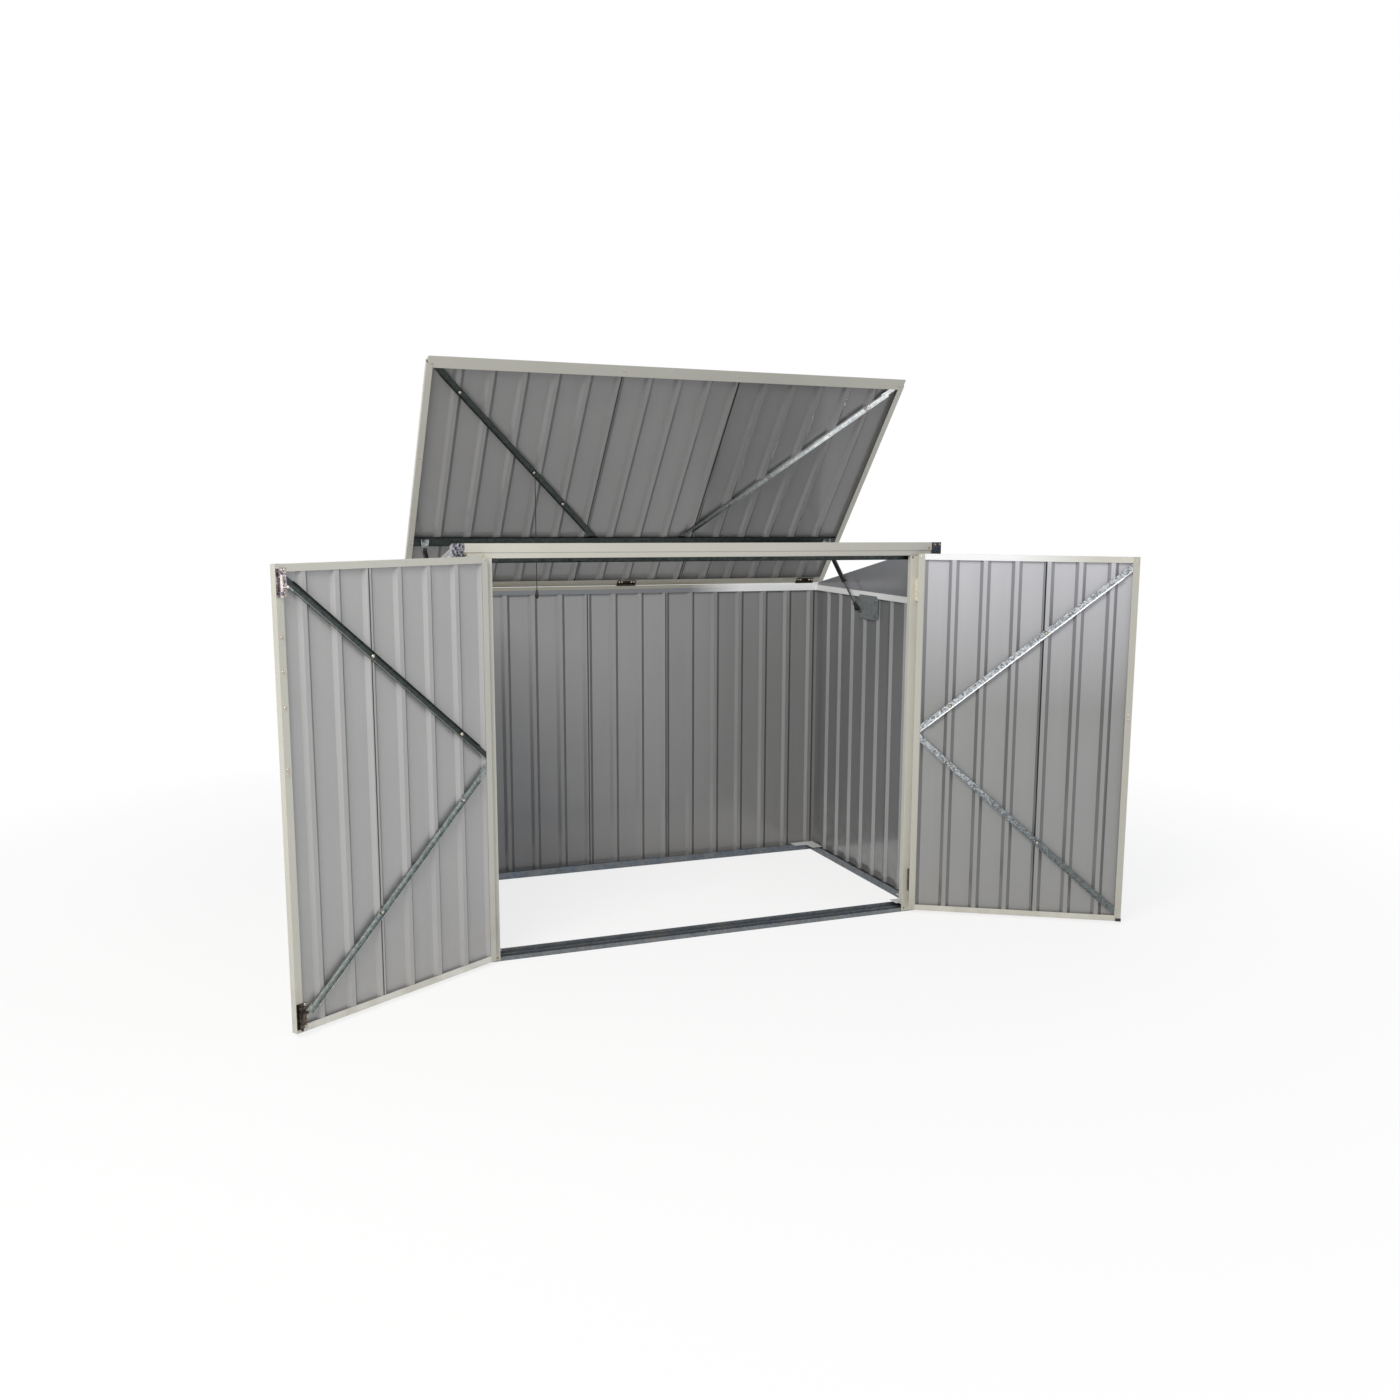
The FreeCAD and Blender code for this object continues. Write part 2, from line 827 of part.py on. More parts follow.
def header_caps():
    """Moulded caps on the header's ends, with rounded edges."""
    front = "-depth / 2"
    depth = "header_cap_depth"
    body = new_body()
    profile = [
        (front, "header_foot"),
        (front, "front_height"),
        (f"{front} + {depth}", f"front_height - roof_fall * {depth}"),
        (f"{front} + {depth}", "header_foot"),
    ]
    pad(body, "YZ_Plane", profile, "header_half", "width / 2")
    doc.recompute()
    cap = body.Tip
    outer = value("width / 2")
    rims = []
    for index, edge in enumerate(body.Shape.Edges, start=1):
        if all(abs(vertex.X - outer) < 0.01 for vertex in edge.Vertexes):
            rims.append(f"Edge{index}")
    rounding = body.newObject("PartDesign::Fillet", "Rim")
    rounding.Base = (cap, rims)
    rounding.setExpression("Radius", bound("header_recess"))
    body.Tip = rounding
    node("header_end_caps", both_sides(body))


# Butt hinges


def knuckles(axis, place, low, length, radius, chosen):
    """Barrels in the chosen thirds of a hinge along x or z, with a little end play."""
    third = f"({length}) / 3"
    found = []
    for row in chosen:
        start = f"({low}) + {row} * {third}"
        corner = (start, *place) if axis == "x" else (*place, start)
        found.append(cylinder(axis, corner, radius, f"{third} - knuckle_play / 2"))
    return found


def hinge_leaf(leaf, axis, place, low, length, own, other, radius="knuckle_radius", pin="pin_radius"):
    """A flat leaf with its own knuckles, room for the other leaf's and a bore for the pin."""
    third = f"({length}) / 3"
    room = []
    for row in other:
        start = f"({low}) + {row} * {third} - knuckle_play / 2"
        corner = (start, *place) if axis == "x" else (*place, start)
        room.append(cylinder(axis, corner, f"{radius} + knuckle_play", f"{third} + knuckle_play / 2"))
    barrels = knuckles(axis, place, low, length, radius, own)
    corner = (low, *place) if axis == "x" else (*place, low)
    bore = cylinder(axis, corner, f"{pin} + pin_play", length)
    return cut(fuse(cut(leaf, *room), *barrels), bore)


def door_hinges():
    """Frame leaves crank from the pin back to the jamb; door leaves lie on the stile's edge."""
    frame_leaves = []
    door_leaves = []
    pins = []
    inner = "pin_x + frame_leaf_set"
    door_pin = ("door_edge_x - pin_x", "-pin_y - depth / 2 - door_front_gap")
    for middle in ("hinge_low", "hinge_high"):
        low = f"{middle} - hinge_height / 2"
        high = f"{middle} + hinge_height / 2"
        crank = fuse(
            block((inner, "pin_y", low), (f"{inner} + leaf", "-depth / 2", high)),
            block(
                (inner, "-depth / 2 - leaf", low), ("pin_x + frame_leaf_width", "-depth / 2", high)
            ),
        )
        frame_pin = ("pin_x", "pin_y")
        frame_leaves.append(
            hinge_leaf(crank, "z", frame_pin, low, "hinge_height", (0, 2), (1,))
        )
        pins.append(cylinder("z", (*frame_pin, low), "pin_radius", "hinge_height"))
        strap = block(("-leaf", "plate", low), ("0", "door_thickness - plate", high))
        door_leaves.append(hinge_leaf(strap, "z", door_pin, low, "hinge_height", (1,), (0, 2)))
    return frame_leaves, door_leaves, pins


def lid_hinges():
    """Three wide hinges between the back rail's top and the lid's hinge rail."""
    back_leaves = []
    lid_leaves = []
    pins = []
    line = ("lid_hinge_y", "lid_hinge_z")
    for middle in ("-lid_hinge_span", "0", "lid_hinge_span"):
        low = f"{middle} - lid_hinge_width / 2"
        high = f"{middle} + lid_hinge_width / 2"
        flat = block(
            (low, "lid_hinge_y", "back_rail_top"),
            (high, "lid_hinge_y + back_leaf_reach", "back_rail_top + leaf"),
        )
        back_leaves.append(hinge_leaf(flat, "x", line, low, "lid_hinge_width", (0, 2), (1,)))
        pins.append(cylinder("x", (low, *line), "pin_radius", "lid_hinge_width"))
        strap = block((low, "-lid_leaf_reach", "lid_lip - leaf"), (high, "0", "lid_lip"))
        lid_leaves.append(
            hinge_leaf(strap, "x", ("0", "0"), low, "lid_hinge_width", (1,), (0, 2))
        )
    return back_leaves, lid_leaves, pins


def hinges():
    frame_leaves, door_leaves, door_pins = door_hinges()
    back_leaves, lid_leaves, lid_pins = lid_hinges()
    frame_group = group(*frame_leaves)
    pin_group = group(*door_pins)
    node("door_hinge_frame_leaves", both_sides(frame_group))
    node("lid_hinge_back_leaves", group(*back_leaves))
    node("hinge_pins", group(mirrored(pin_group), pin_group, *lid_pins))
    door_group = stand(group(*door_leaves), panel=on_door())
    node("right_door_hinge_leaves", door_group)
    node("left_door_hinge_leaves", mirrored(door_group))
    node("lid_hinge_leaves", stand(group(*lid_leaves), panel=on_lid()))


# Braces


def brace(role, start, end, web, legs, corner):
    """U-section diagonal whose ends are flattened to bare tabs and cut along the frame.

    start and end are (along, across) on its middle line, and corner turns such a
    pair into the sketch's own X and Y.
    """
    (a_start, b_start), (a_end, b_end) = start, end
    slope = f"((({b_end}) - ({b_start})) / (({a_end}) - ({a_start})))"
    stretch = f"sqrt(1 + {slope}^2)"

    def strip(low, high, inset):
        near, far = f"({a_start} + {inset})", f"({a_end} - {inset})"
        corners = []
        for along, offset in ((near, low), (far, low), (far, high), (near, high)):
            across = f"{b_start} + {slope} * ({along} - {a_start}) + ({offset}) * {stretch}"
            corners.append(corner(along, across))
        return corners

    half = "brace_width / 2"
    body = new_body()
    pad(body, role, strip(f"-{half}", half, "0"), *web)
    pad(body, role, strip(f"-{half}", f"plate - {half}", "brace_tab"), *legs)
    pad(body, role, strip(f"{half} - plate", half, "brace_tab"), *legs)
    return body


# Doors


def door_frame():
    """Stiles and rails, folded channels that open towards the sheets."""
    lips = ("door_foot", "door_head")

    def stile(edge, sign):
        def at(distance):
            return f"{edge} + ({sign}) * ({distance})"

        body = new_body()
        profile = [
            (at("0"), "0"),
            (at("stile_lip"), "0"),
            (at("stile_lip"), "plate"),
            (at("plate"), "plate"),
            (at("plate"), "door_thickness - plate"),
            (at("stile_lip"), "door_thickness - plate"),
            (at("stile_lip"), "door_thickness"),
            (at("0"), "door_thickness"),
        ]
        pad(body, "XY_Plane", profile, *lips)
        return body

    def rail(edge, sign):
        def at(distance):
            return f"{edge} + ({sign}) * ({distance})"

        body = new_body()
        profile = [
            ("0", at("0")),
            ("0", at("rail_face")),
            ("plate", at("rail_face")),
            ("plate", at("plate")),
            ("door_thickness - plate", at("plate")),
            ("door_thickness - plate", at("rail_face")),
            ("door_thickness", at("rail_face")),
            ("door_thickness", at("0")),
        ]
        pad(body, "YZ_Plane", profile, "stile_lip", "door_width - stile_lip")
        return body

    stiles = group(stile("0", "1"), stile("door_width", "-1"))
    rails = group(rail("door_foot", "1"), rail("door_head", "-1"))
    return stiles, rails


def door_sheets():
    """Two sheets held in the channels, lapped at the fourth rib and cut through a rib at the hinge."""
    length = "door_head - door_foot - 2 * (plate + sheet_play)"
    seam = "(door_first_rib + 3 * rib_pitch)"
    inner = ribbed_sheet("door_first_rib", 4, length, cut_left="sheet_cut")
    outer = ribbed_sheet(
        f"({seam} + rib_pitch)", 2, length, right="door_width - sheet_edge", lap_left=seam
    )
    return inner, outer


def door_braces():
    """A pair of diagonals that meet at the middle of the hinge stile."""
    web = ("0", "plate")
    legs = ("plate - brace_depth", "0")
    lines = [("upper_brace_low", "upper_brace_high"), ("lower_brace_high", "lower_brace_low")]
    return [
        brace(
            "XZ_Plane",
            ("door_brace_near", hinge_end),
            ("door_brace_far", free_end),
            web,
            legs,
            lambda along, across: (along, across),
        )
        for hinge_end, free_end in lines
    ]


def doors():
    door = on_door()
    stiles, rails = door_frame()
    inner, outer = door_sheets()
    drop = "plate + gauge + rib_rise"
    foot = "door_foot + plate + sheet_play"
    pieces = {
        "stiles": stand(stiles, panel=door),
        "rails": stand(rails, panel=door),
        "sheet_inner": stand(inner, ("0", drop, foot), panel=door),
        "sheet_outer": stand(outer, ("0", drop, foot), panel=door),
        "braces": stand(group(*door_braces()), panel=door),
    }
    for name, piece in pieces.items():
        node(f"right_door_{name}", piece)
        node(f"left_door_{name}", mirrored(piece))


def slide_bolt(plate_low, plate_high, bolt_low, knob):
    """A round bolt in two half-round keepers on a base plate."""
    axis = ("bolt_d", "bolt_n")
    keepers = []
    for low in (f"{plate_low} + keeper_inset", f"{plate_high} - keeper_inset - keeper_height"):
        high = f"{low} + keeper_height"
        keepers.append(
            block(
                ("bolt_d - keeper_radius", "bolt_n", low), ("bolt_d + keeper_radius", "-leaf", high)
            )
        )
        keepers.append(cylinder("z", (*axis, low), "keeper_radius", "keeper_height"))
    base = block(("bolt_plate_near", "-leaf", plate_low), ("bolt_plate_far", "0", plate_high))
    bore = cylinder("z", (*axis, plate_low), "bolt_radius + bolt_play", "bolt_plate_height")
    housing = cut(fuse(base, *keepers), bore)
    rod = cylinder("z", (*axis, bolt_low), "bolt_radius", "bolt_length")
    side = ("bolt_d - knob_reach", "bolt_n", knob)
    stem = cylinder("x", side, "knob_stem", "knob_reach")
    head = ball("x", side, "knob_radius")
    return housing, fuse(rod, stem, head)


def slide_bolts():
    """Both bolts shoot out of the left door, one into the header and one into the base rail."""
    door = on_door()
    top_low = "bolt_plate_end - bolt_plate_height"
    top_housing, top_bolt = slide_bolt(
        f"({top_low})", "bolt_plate_end", f"{top_low} + plate", f"{top_low} + knob_set"
    )
    low_housing, low_bolt = slide_bolt(
        "(low_bolt_plate - bolt_plate_height + bolt_retreat)",
        "low_bolt_plate",
        "rail_top + low_bolt_gap",
        "low_bolt_plate - knob_set",
    )
    housings = stand(group(top_housing, low_housing), panel=door)
    node("slide_bolt_housings", mirrored(housings))
    node("slide_bolt_top", mirrored(stand(top_bolt, panel=door)))
    node("slide_bolt_bottom", mirrored(stand(low_bolt, panel=door)))


def hasp():
    """Outside latch: a hinged slotted strap on the right door and its staple on the left."""
    door = on_door()
    half = "hasp_height / 2"
    low, high = f"latch_height - {half}", f"latch_height + {half}"
    face = "door_thickness"
    axis = ("hasp_axis_d", "hasp_axis_n")
    size = (low, "hasp_height")
    seat = block(
        ("door_width - stile_lip", face, low), ("hasp_axis_d", f"{face} + hasp_thickness", high)
    )
    seat = hinge_leaf(seat, "z", axis, *size, (0, 2), (1,), "hasp_radius", "hasp_pin")
    pin = cylinder("z", (*axis, low), "hasp_pin", "hasp_height")
    node("hasp_plate", stand(group(seat, pin), panel=door))
    # the strap is drawn about its own knuckle, then folded back
    strap = block(("0", "-hasp_thickness / 2", low), ("hasp_reach", "hasp_thickness / 2", high))
    slot = block(
        ("slot_near", "-hasp_thickness", "latch_height - slot_height / 2"),
        ("slot_far", "hasp_thickness", "latch_height + slot_height / 2"),
    )
    strap = cut(strap, slot)
    strap = hinge_leaf(strap, "z", ("0", "0"), *size, (1,), (0, 2), "hasp_radius", "hasp_pin")
    node("hasp_strap", stand(strap, (*axis, "0"), UP, value("hasp_folded"), panel=door))
    # a square-cornered wire loop on its own small plate
    near, far = "staple_d - staple_wire", "staple_d + staple_wire"
    top = f"{face} + staple_rise + 2 * staple_wire"
    outer = "staple_half + staple_wire"
    inner = "staple_half - staple_wire"
    loop = cut(
        block((near, face, f"latch_height - {outer}"), (far, top, f"latch_height + {outer}")),
        block(
            ("door_width - stile_lip", f"{face} + plate", f"latch_height - ({inner})"),
            ("door_width", f"{face} + staple_rise", f"latch_height + ({inner})"),
        ),
    )
    base = block(("door_width - stile_lip", face, low), ("door_width - plate", f"{face} + plate", high))
    node("hasp_staple", mirrored(stand(fuse(base, loop), panel=door)))


def corner_cap():
    """Moulded cap over the right door's lower free corner."""
    near, far = "door_width - cap_reach", "door_width + cap_wall"
    low, high = "door_foot - cap_wall", "door_foot + cap_height"
    shell = block((near, "-cap_wall", low), (far, "door_thickness + cap_wall", high))
    room = block(
        ("door_width - 2 * cap_reach", "0", "door_foot"), ("door_width", "door_thickness", "2 * door_foot")
    )
    node("corner_cap", stand(cut(shell, room), panel=on_door()))


# Lid


def lid_frame_rails():
    top = "lid_lip + lid_frame"

    # the front channel's nose leans back from its lip to its top
    front = new_body()
    lip_edge = "lid_front_lip - lid_length"
    lean = "(lid_nose / lid_frame)"
    skin = "(plate * sqrt(1 + (lid_nose / lid_frame)^2))"
    outline = [
        (lip_edge, "lid_lip"),
        ("-lid_length", "lid_lip"),
        ("lid_nose - lid_length", top),
        (lip_edge, top),
        (lip_edge, f"{top} - plate"),
        (f"lid_nose - lid_length - {lean} * plate + {skin}", f"{top} - plate"),
        (f"{lean} * plate + {skin} - lid_length", "lid_lip + plate"),
        (lip_edge, "lid_lip + plate"),
    ]
    pad(front, "YZ_Plane", outline, "-lid_front_half", "lid_front_half")
    # tabs folded down close the ends, which are notched round the side channels
    tab = outline[:4]
    pad(front, "YZ_Plane", tab, "lid_front_half - plate", "lid_front_half")
    pad(front, "YZ_Plane", tab, "-lid_front_half", "plate - lid_front_half")
    side = "lid_half_width - lid_side_lip - plate / 2"
    notch = rectangle(side, "-lid_side_end - plate / 2", "lid_half_width", "0")
    other_notch = [(f"-({x})", y) for x, y in reversed(notch)]
    pocket(front, "XY_Plane", [notch, other_notch], "0", f"{top} + plate")
    node("lid_front_channel", stand(front, panel=on_lid()))

    hinge_rail = new_body()
    half = "(lid_half_width - lid_side_lip - plate / 2)"
    outline = [
        ("-lid_rail_far", "lid_lip"),
        ("-lid_rail_near", "lid_lip"),
        ("-lid_rail_near", top),
        ("-lid_rail_far", top),
        ("-lid_rail_far", f"{top} - plate"),
        ("-lid_rail_near - plate", f"{top} - plate"),
        ("-lid_rail_near - plate", "lid_lip + plate"),
        ("-lid_rail_far", "lid_lip + plate"),
    ]
    pad(hinge_rail, "YZ_Plane", outline, f"-{half}", half)
    node("lid_hinge_rail", stand(hinge_rail, panel=on_lid()))

    mid_rail = new_body()
    far, near = "-mid_rail_far", "-mid_rail_near"
    high = "lid_lip + lid_sheet_drop - rib_rise - gauge"
    low = f"{high} - mid_rail_depth"
    outline = [
        (far, high),
        (far, low),
        (near, low),
        (near, high),
        (f"{near} - plate", high),
        (f"{near} - plate", f"{low} + plate"),
        (f"{far} + plate", f"{low} + plate"),
        (f"{far} + plate", high),
    ]
    pad(mid_rail, "YZ_Plane", outline, f"-{half}", half)
    node("lid_mid_rail", stand(mid_rail, panel=on_lid()))


def lid_side_channels():
    """Folded channels along both sides, lips on the lid's underside."""
    top = "lid_lip + lid_frame"
    inner = "lid_half_width - lid_side_lip"
    body = new_body()
    profile = [
        (inner, "lid_lip"),
        ("lid_half_width", "lid_lip"),
        ("lid_half_width", top),
        (inner, top),
        (inner, f"{top} - plate"),
        ("lid_half_width - plate", f"{top} - plate"),
        ("lid_half_width - plate", "lid_lip + plate"),
        (inner, "lid_lip + plate"),
    ]
    pad(body, "XZ_Plane", profile, "-lid_side_end", "-lid_rail_near")
    node("lid_side_channels", both_sides(stand(body, panel=on_lid())))


def lid_sheets():
    """Three sheets with their ribs down the slope; the middle one laps over both others."""
    start = "lid_rail_near + sheet_edge"
    length = f"lid_side_end - plate / 2 - ({start})"
    seam = "(2 * rib_pitch)"
    right = ribbed_sheet(seam, 6, length, right="lid_half_width - sheet_edge")
    centre = ribbed_sheet("(-rib_pitch)", 3, length, lap_left=f"-{seam}", lap_right=seam)
    for body in (right, centre):
        stand(body, ("0", f"-({start})", "lid_lip + lid_sheet_drop"), ACROSS, 90, panel=on_lid())
    node("lid_sheet_left", mirrored(right))
    node("lid_sheet_centre", centre)
    node("lid_sheet_right", right)


def lid_braces():
    """Two diagonals from the mid rail out to the lid's front corners."""
    high = "lid_lip + lid_sheet_drop - rib_rise - gauge"
    right = brace(
        "XY_Plane",
        ("lid_brace_near", "lid_brace_inner"),
        ("lid_brace_far", "lid_brace_outer"),
        (f"{high} - plate", high),
        (f"{high} - brace_depth", f"{high} - plate"),
        lambda along, across: (across, f"-({along})"),
    )
    node("lid_braces", both_sides(stand(right, panel=on_lid())))


# Gas springs


def spring_mounts():
    """Wall plates with ball studs, and the brackets that hang from the lid's mid rail."""
    x = "wall_half_width - rib_rise - gauge - plate"
    low, high = "spring_plate_low", "spring_plate_high"
    reach, corner = "spring_plate_reach", "spring_plate_corner"
    body = new_body()
    outline = [
        (f"-{reach}", f"{low} + {corner}"),
        (f"{corner} - {reach}", low),
        (f"{reach} - {corner}", low),
        (reach, f"{low} + {corner}"),
        (reach, f"{high} - {corner}"),
        (f"{reach} - {corner}", high),
        (f"{corner} - {reach}", high),
        (f"-{reach}", f"{high} - {corner}"),
    ]
    pad(body, "YZ_Plane", outline, f"{x} - leaf", x)
    foot = ("spring_x", "spring_foot_y", "spring_foot_z")
    stem = cylinder("x", foot, "stem_radius", f"{x} - leaf - spring_x")
    node("spring_wall_plates", both_sides(fuse(body, stem, ball("x", foot, "ball_radius"))))

    under = "lid_lip + lid_sheet_drop - rib_rise - gauge - mid_rail_depth"
    hanger = new_body()
    head_y, head_n = "-spring_head_t", "spring_head_n"
    cheek = [
        ("-mid_rail_far + bracket_inset", under),
        ("-mid_rail_near - plate", under),
        (f"{head_y} + eye_radius", head_n),
        (f"{head_y} + eye_radius / 2", f"{head_n} - eye_radius"),
        (f"{head_y} - eye_radius / 2", f"{head_n} - eye_radius"),
        (f"{head_y} - eye_radius", head_n),
    ]
    pad(hanger, "YZ_Plane", cheek, "bracket_plate_x", "bracket_plate_x + leaf")
    flange = rectangle("-mid_rail_far + bracket_inset", f"{under} - leaf", "-mid_rail_near - plate", under)
    pad(hanger, "YZ_Plane", flange, "spring_x - bracket_flange", "bracket_plate_x + leaf")
    stud_start = "spring_x + eye_inner + stud_gap"
    stud = cylinder("x", (stud_start, head_y, head_n), "ball_radius", f"bracket_plate_x - ({stud_start})")
    node("spring_lid_brackets", both_sides(stand(fuse(hanger, stud), panel=on_lid())))


def gas_springs():
    """Each rod turns on its wall ball; the barrel slides along the rod and ends at the lid."""
    spring = on_spring()
    centre = ("0", "0", "0")
    socket = cut(
        fuse(
            cylinder("x", ("-socket_half", "0", "0"), "socket_radius", "socket_half + socket_face"),
            cylinder("z", centre, "socket_neck_radius", "socket_neck"),
        ),
        ball("x", centre, "ball_radius + ball_play"),
        cylinder("x", centre, "socket_mouth", "2 * socket_half"),
    )
    rod = revolved(
        [
            ("0", "socket_neck"),
            ("rod_radius", "socket_neck"),
            ("rod_radius", "rod_end - piston_length"),
            ("piston_radius", "rod_end - piston_length"),
            ("piston_radius", "rod_end"),
            ("0", "rod_end"),
        ]
    )
    rod_group = stand(group(rod, socket), panel=spring)
    node("right_spring_rod", rod_group)
    node("left_spring_rod", mirrored(rod_group))
    tube = revolved(
        [
            ("rod_radius + ball_play", "barrel_foot"),
            ("barrel_radius", "barrel_foot"),
            ("barrel_radius", "barrel_head"),
            ("0", "barrel_head"),
            ("0", "barrel_head - barrel_cap"),
            ("barrel_bore", "barrel_head - barrel_cap"),
            ("barrel_bore", "barrel_foot + barrel_guide"),
            ("rod_radius + ball_play", "barrel_foot + barrel_guide"),
        ]
    )
    length = f"{spring_line()[1].Length:.4f}"
    neck = cylinder("z", ("0", "0", "barrel_head"), "barrel_neck", f"{length} - barrel_head")
    eye = cylinder("x", ("-socket_half", "0", length), "eye_radius", "socket_half + eye_inner")
    barrel = stand(fuse(tube, neck, eye), panel=spring)
    node("right_spring_barrel", barrel)
    node("left_spring_barrel", mirrored(barrel))


# Pull cord


def pull_cord():
    """A cord with a tapered toggle, knotted under a bolt in the lid's left brace."""
    web = "lid_lip + lid_sheet_drop - rib_rise - gauge - plate"
    share = "(cord_t - lid_brace_near) / (lid_brace_far - lid_brace_near)"
    brace_x = f"-(lid_brace_inner + {share} * (lid_brace_outer - lid_brace_inner))"
    knot = on_lid().multVec(point(brace_x, "-cord_t", f"{web} - knot_radius - knot_gap"))
    tied = FreeCAD.Placement(knot, FreeCAD.Rotation())
    bead = cut(
        ball("z", ("0", "0", "0"), "knot_radius"),
        block(
            ("-knot_radius", "-knot_radius", "-2 * knot_radius"),
            ("knot_radius", "knot_radius", "-knot_flat"),
        ),
    )
    node("cord_knot", stand(bead, panel=tied))
    cord = cylinder("z", ("0", "0", "-knot_flat - cord_length"), "cord_radius", "cord_length")
    node("pull_cord", stand(group(cord), panel=tied))
    toggle = revolved(
        [
            ("0", "-toggle_length"),
            ("toggle_radius / 2", "-toggle_length"),
            ("toggle_radius", "-toggle_belly_foot"),
            ("toggle_radius", "-toggle_belly_top"),
            ("toggle_radius / 2", "0"),
            ("0", "0"),
        ]
    )
    node("cord_toggle", stand(toggle, ("0", "0", "-knot_flat - cord_length"), panel=tied))


base_frame()
base_gussets()
back_wall()
side_walls()
corner_posts()
top_rails()
gables()
jambs()
header()
header_channel()
header_caps()
hinges()
doors()
slide_bolts()
hasp()
corner_cap()
lid_side_channels()
lid_frame_rails()
lid_sheets()
lid_braces()
spring_mounts()
gas_springs()
pull_cord()
doc.recompute()

for item in doc.Objects:
    if "Invalid" in item.State or "Error" in item.State:
        raise RuntimeError(f"{item.Name} ({item.Label}) failed: {item.State}")
for item in NODES:
    shape = item.Shape
    if shape.isNull() or not shape.isValid() or not shape.Solids:
        raise RuntimeError(f"{item.Label} has no valid solid")

os.makedirs("parts", exist_ok=True)
for item in NODES:
    item.Shape.exportStep(f"parts/{item.Label}.step")
print(f"{len(NODES)} sub-parts, {sum(len(item.Shape.Solids) for item in NODES)} solids")
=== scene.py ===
# %% [markdown]
# # A wheelie bin store, dressed for its portrait
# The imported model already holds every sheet, rail, hinge and slide bolt at its real size and
# place. What is missing is how it looks: paint, galvanised steel, small fasteners and a braid.
# We load the model as a fixed frame first, and note its box, so that we can prove at the end
# that nothing we added made the store bigger.

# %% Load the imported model
import json
import math

import bpy
import numpy as np
from mathutils import Matrix, Vector


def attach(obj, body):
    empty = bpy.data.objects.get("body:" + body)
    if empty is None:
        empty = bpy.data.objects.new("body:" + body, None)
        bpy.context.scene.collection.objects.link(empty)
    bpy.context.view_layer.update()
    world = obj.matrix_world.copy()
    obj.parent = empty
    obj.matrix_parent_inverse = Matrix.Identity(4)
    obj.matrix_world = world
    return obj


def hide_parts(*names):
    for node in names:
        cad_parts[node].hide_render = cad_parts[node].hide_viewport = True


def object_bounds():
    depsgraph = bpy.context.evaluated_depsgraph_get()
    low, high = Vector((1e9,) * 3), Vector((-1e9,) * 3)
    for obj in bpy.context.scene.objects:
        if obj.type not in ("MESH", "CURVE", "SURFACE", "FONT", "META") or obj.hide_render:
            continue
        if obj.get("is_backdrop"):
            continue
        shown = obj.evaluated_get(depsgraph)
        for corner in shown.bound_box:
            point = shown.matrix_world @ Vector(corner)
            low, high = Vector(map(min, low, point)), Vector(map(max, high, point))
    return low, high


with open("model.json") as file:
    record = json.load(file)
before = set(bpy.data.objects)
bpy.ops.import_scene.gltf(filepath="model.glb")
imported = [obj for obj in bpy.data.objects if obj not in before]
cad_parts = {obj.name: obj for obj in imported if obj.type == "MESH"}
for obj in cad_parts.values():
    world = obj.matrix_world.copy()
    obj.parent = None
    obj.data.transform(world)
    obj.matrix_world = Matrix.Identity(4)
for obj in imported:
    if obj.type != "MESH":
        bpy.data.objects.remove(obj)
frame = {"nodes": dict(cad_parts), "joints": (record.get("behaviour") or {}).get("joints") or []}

cad_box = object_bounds()
print("nodes:", len(frame["nodes"]))
print("box in metres:", [tuple(round(c, 3) for c in corner) for corner in cad_box])


# %% [markdown]
# ## Three work benches
# A maker lays a door or the lid flat on the bench to rivet it. We do the same: each moving
# panel gets a matrix that carries bench coordinates in millimetres to the store's own frame in
# metres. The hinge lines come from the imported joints, and only the two opening angles and the
# door edge's small offset from its pin are written here.

# %% Bench frames of the lid and the doors
MM = 0.001  # in metres
METRE = 1000.0  # in millimetres
joints = {joint["name"]: joint for joint in frame["joints"]}
LID_OPENED = 48.7
DOOR_OPENED = 148
DOOR_EDGE_FROM_PIN = (3.2, -10.0, 0)

to_metres = Matrix.Diagonal((MM, MM, MM, 1))
mirror = Matrix.Diagonal((-1, 1, 1, 1))
store = to_metres.copy()


def hinge_point(name):
    """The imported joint's position as a translation, in metres."""
    return Matrix.Translation(Vector(joints[name]["pos_m"]))


def new_object(name, data):
    """An object that shows data, in the scene."""
    made = bpy.data.objects.new(name, data)
    bpy.context.scene.collection.objects.link(made)
    return made


# Lid bench: X across, -Y up the slope from the hinge line, +Z out of the lid's top.
lid = hinge_point("lid_hinge") @ Matrix.Rotation(-math.radians(LID_OPENED), 4, "X") @ to_metres

# Door bench: X from the hinge edge out, +Y towards the outside, Z up from the ground.
door_pin = Vector(joints["right_door_hinge"]["pos_m"])
door_turn = Matrix.Rotation(math.radians(180 + DOOR_OPENED), 4, "Z")
right_door = (
    Matrix.Translation((door_pin.x, door_pin.y, 0))
    @ door_turn
    @ to_metres
    @ Matrix.Translation(DOOR_EDGE_FROM_PIN)
)
left_door = mirror @ right_door
print("lid bench origin:", tuple(round(c, 4) for c in lid.translation))
print("right door bench origin:", tuple(round(c, 4) for c in right_door.translation))


# %% [markdown]
# ## The camera
# The photograph was taken from the left of the front, about 1.4 m above the ground, with the
# sensor slightly off the lens axis. The store's own right angles gave this camera: where it
# stood, which way it looked, and how long its lens was. Blender counts the lens in millimetres
# on a 36 mm sensor, and a shift as a share of the frame's width.

# %% Camera at the photograph's viewing angle
FRAME_PIXELS = 1400
SENSOR = 36
CAMERA_PLACE = Vector((-1.5757, -4.5356, 1.4413))
YAW, PITCH, ROLL = (math.radians(a) for a in (-23.1975, -9.3236, 0.5903))
FOCAL_PIXELS = 1343.32
PRINCIPAL_POINT = (759.72, 722.30)

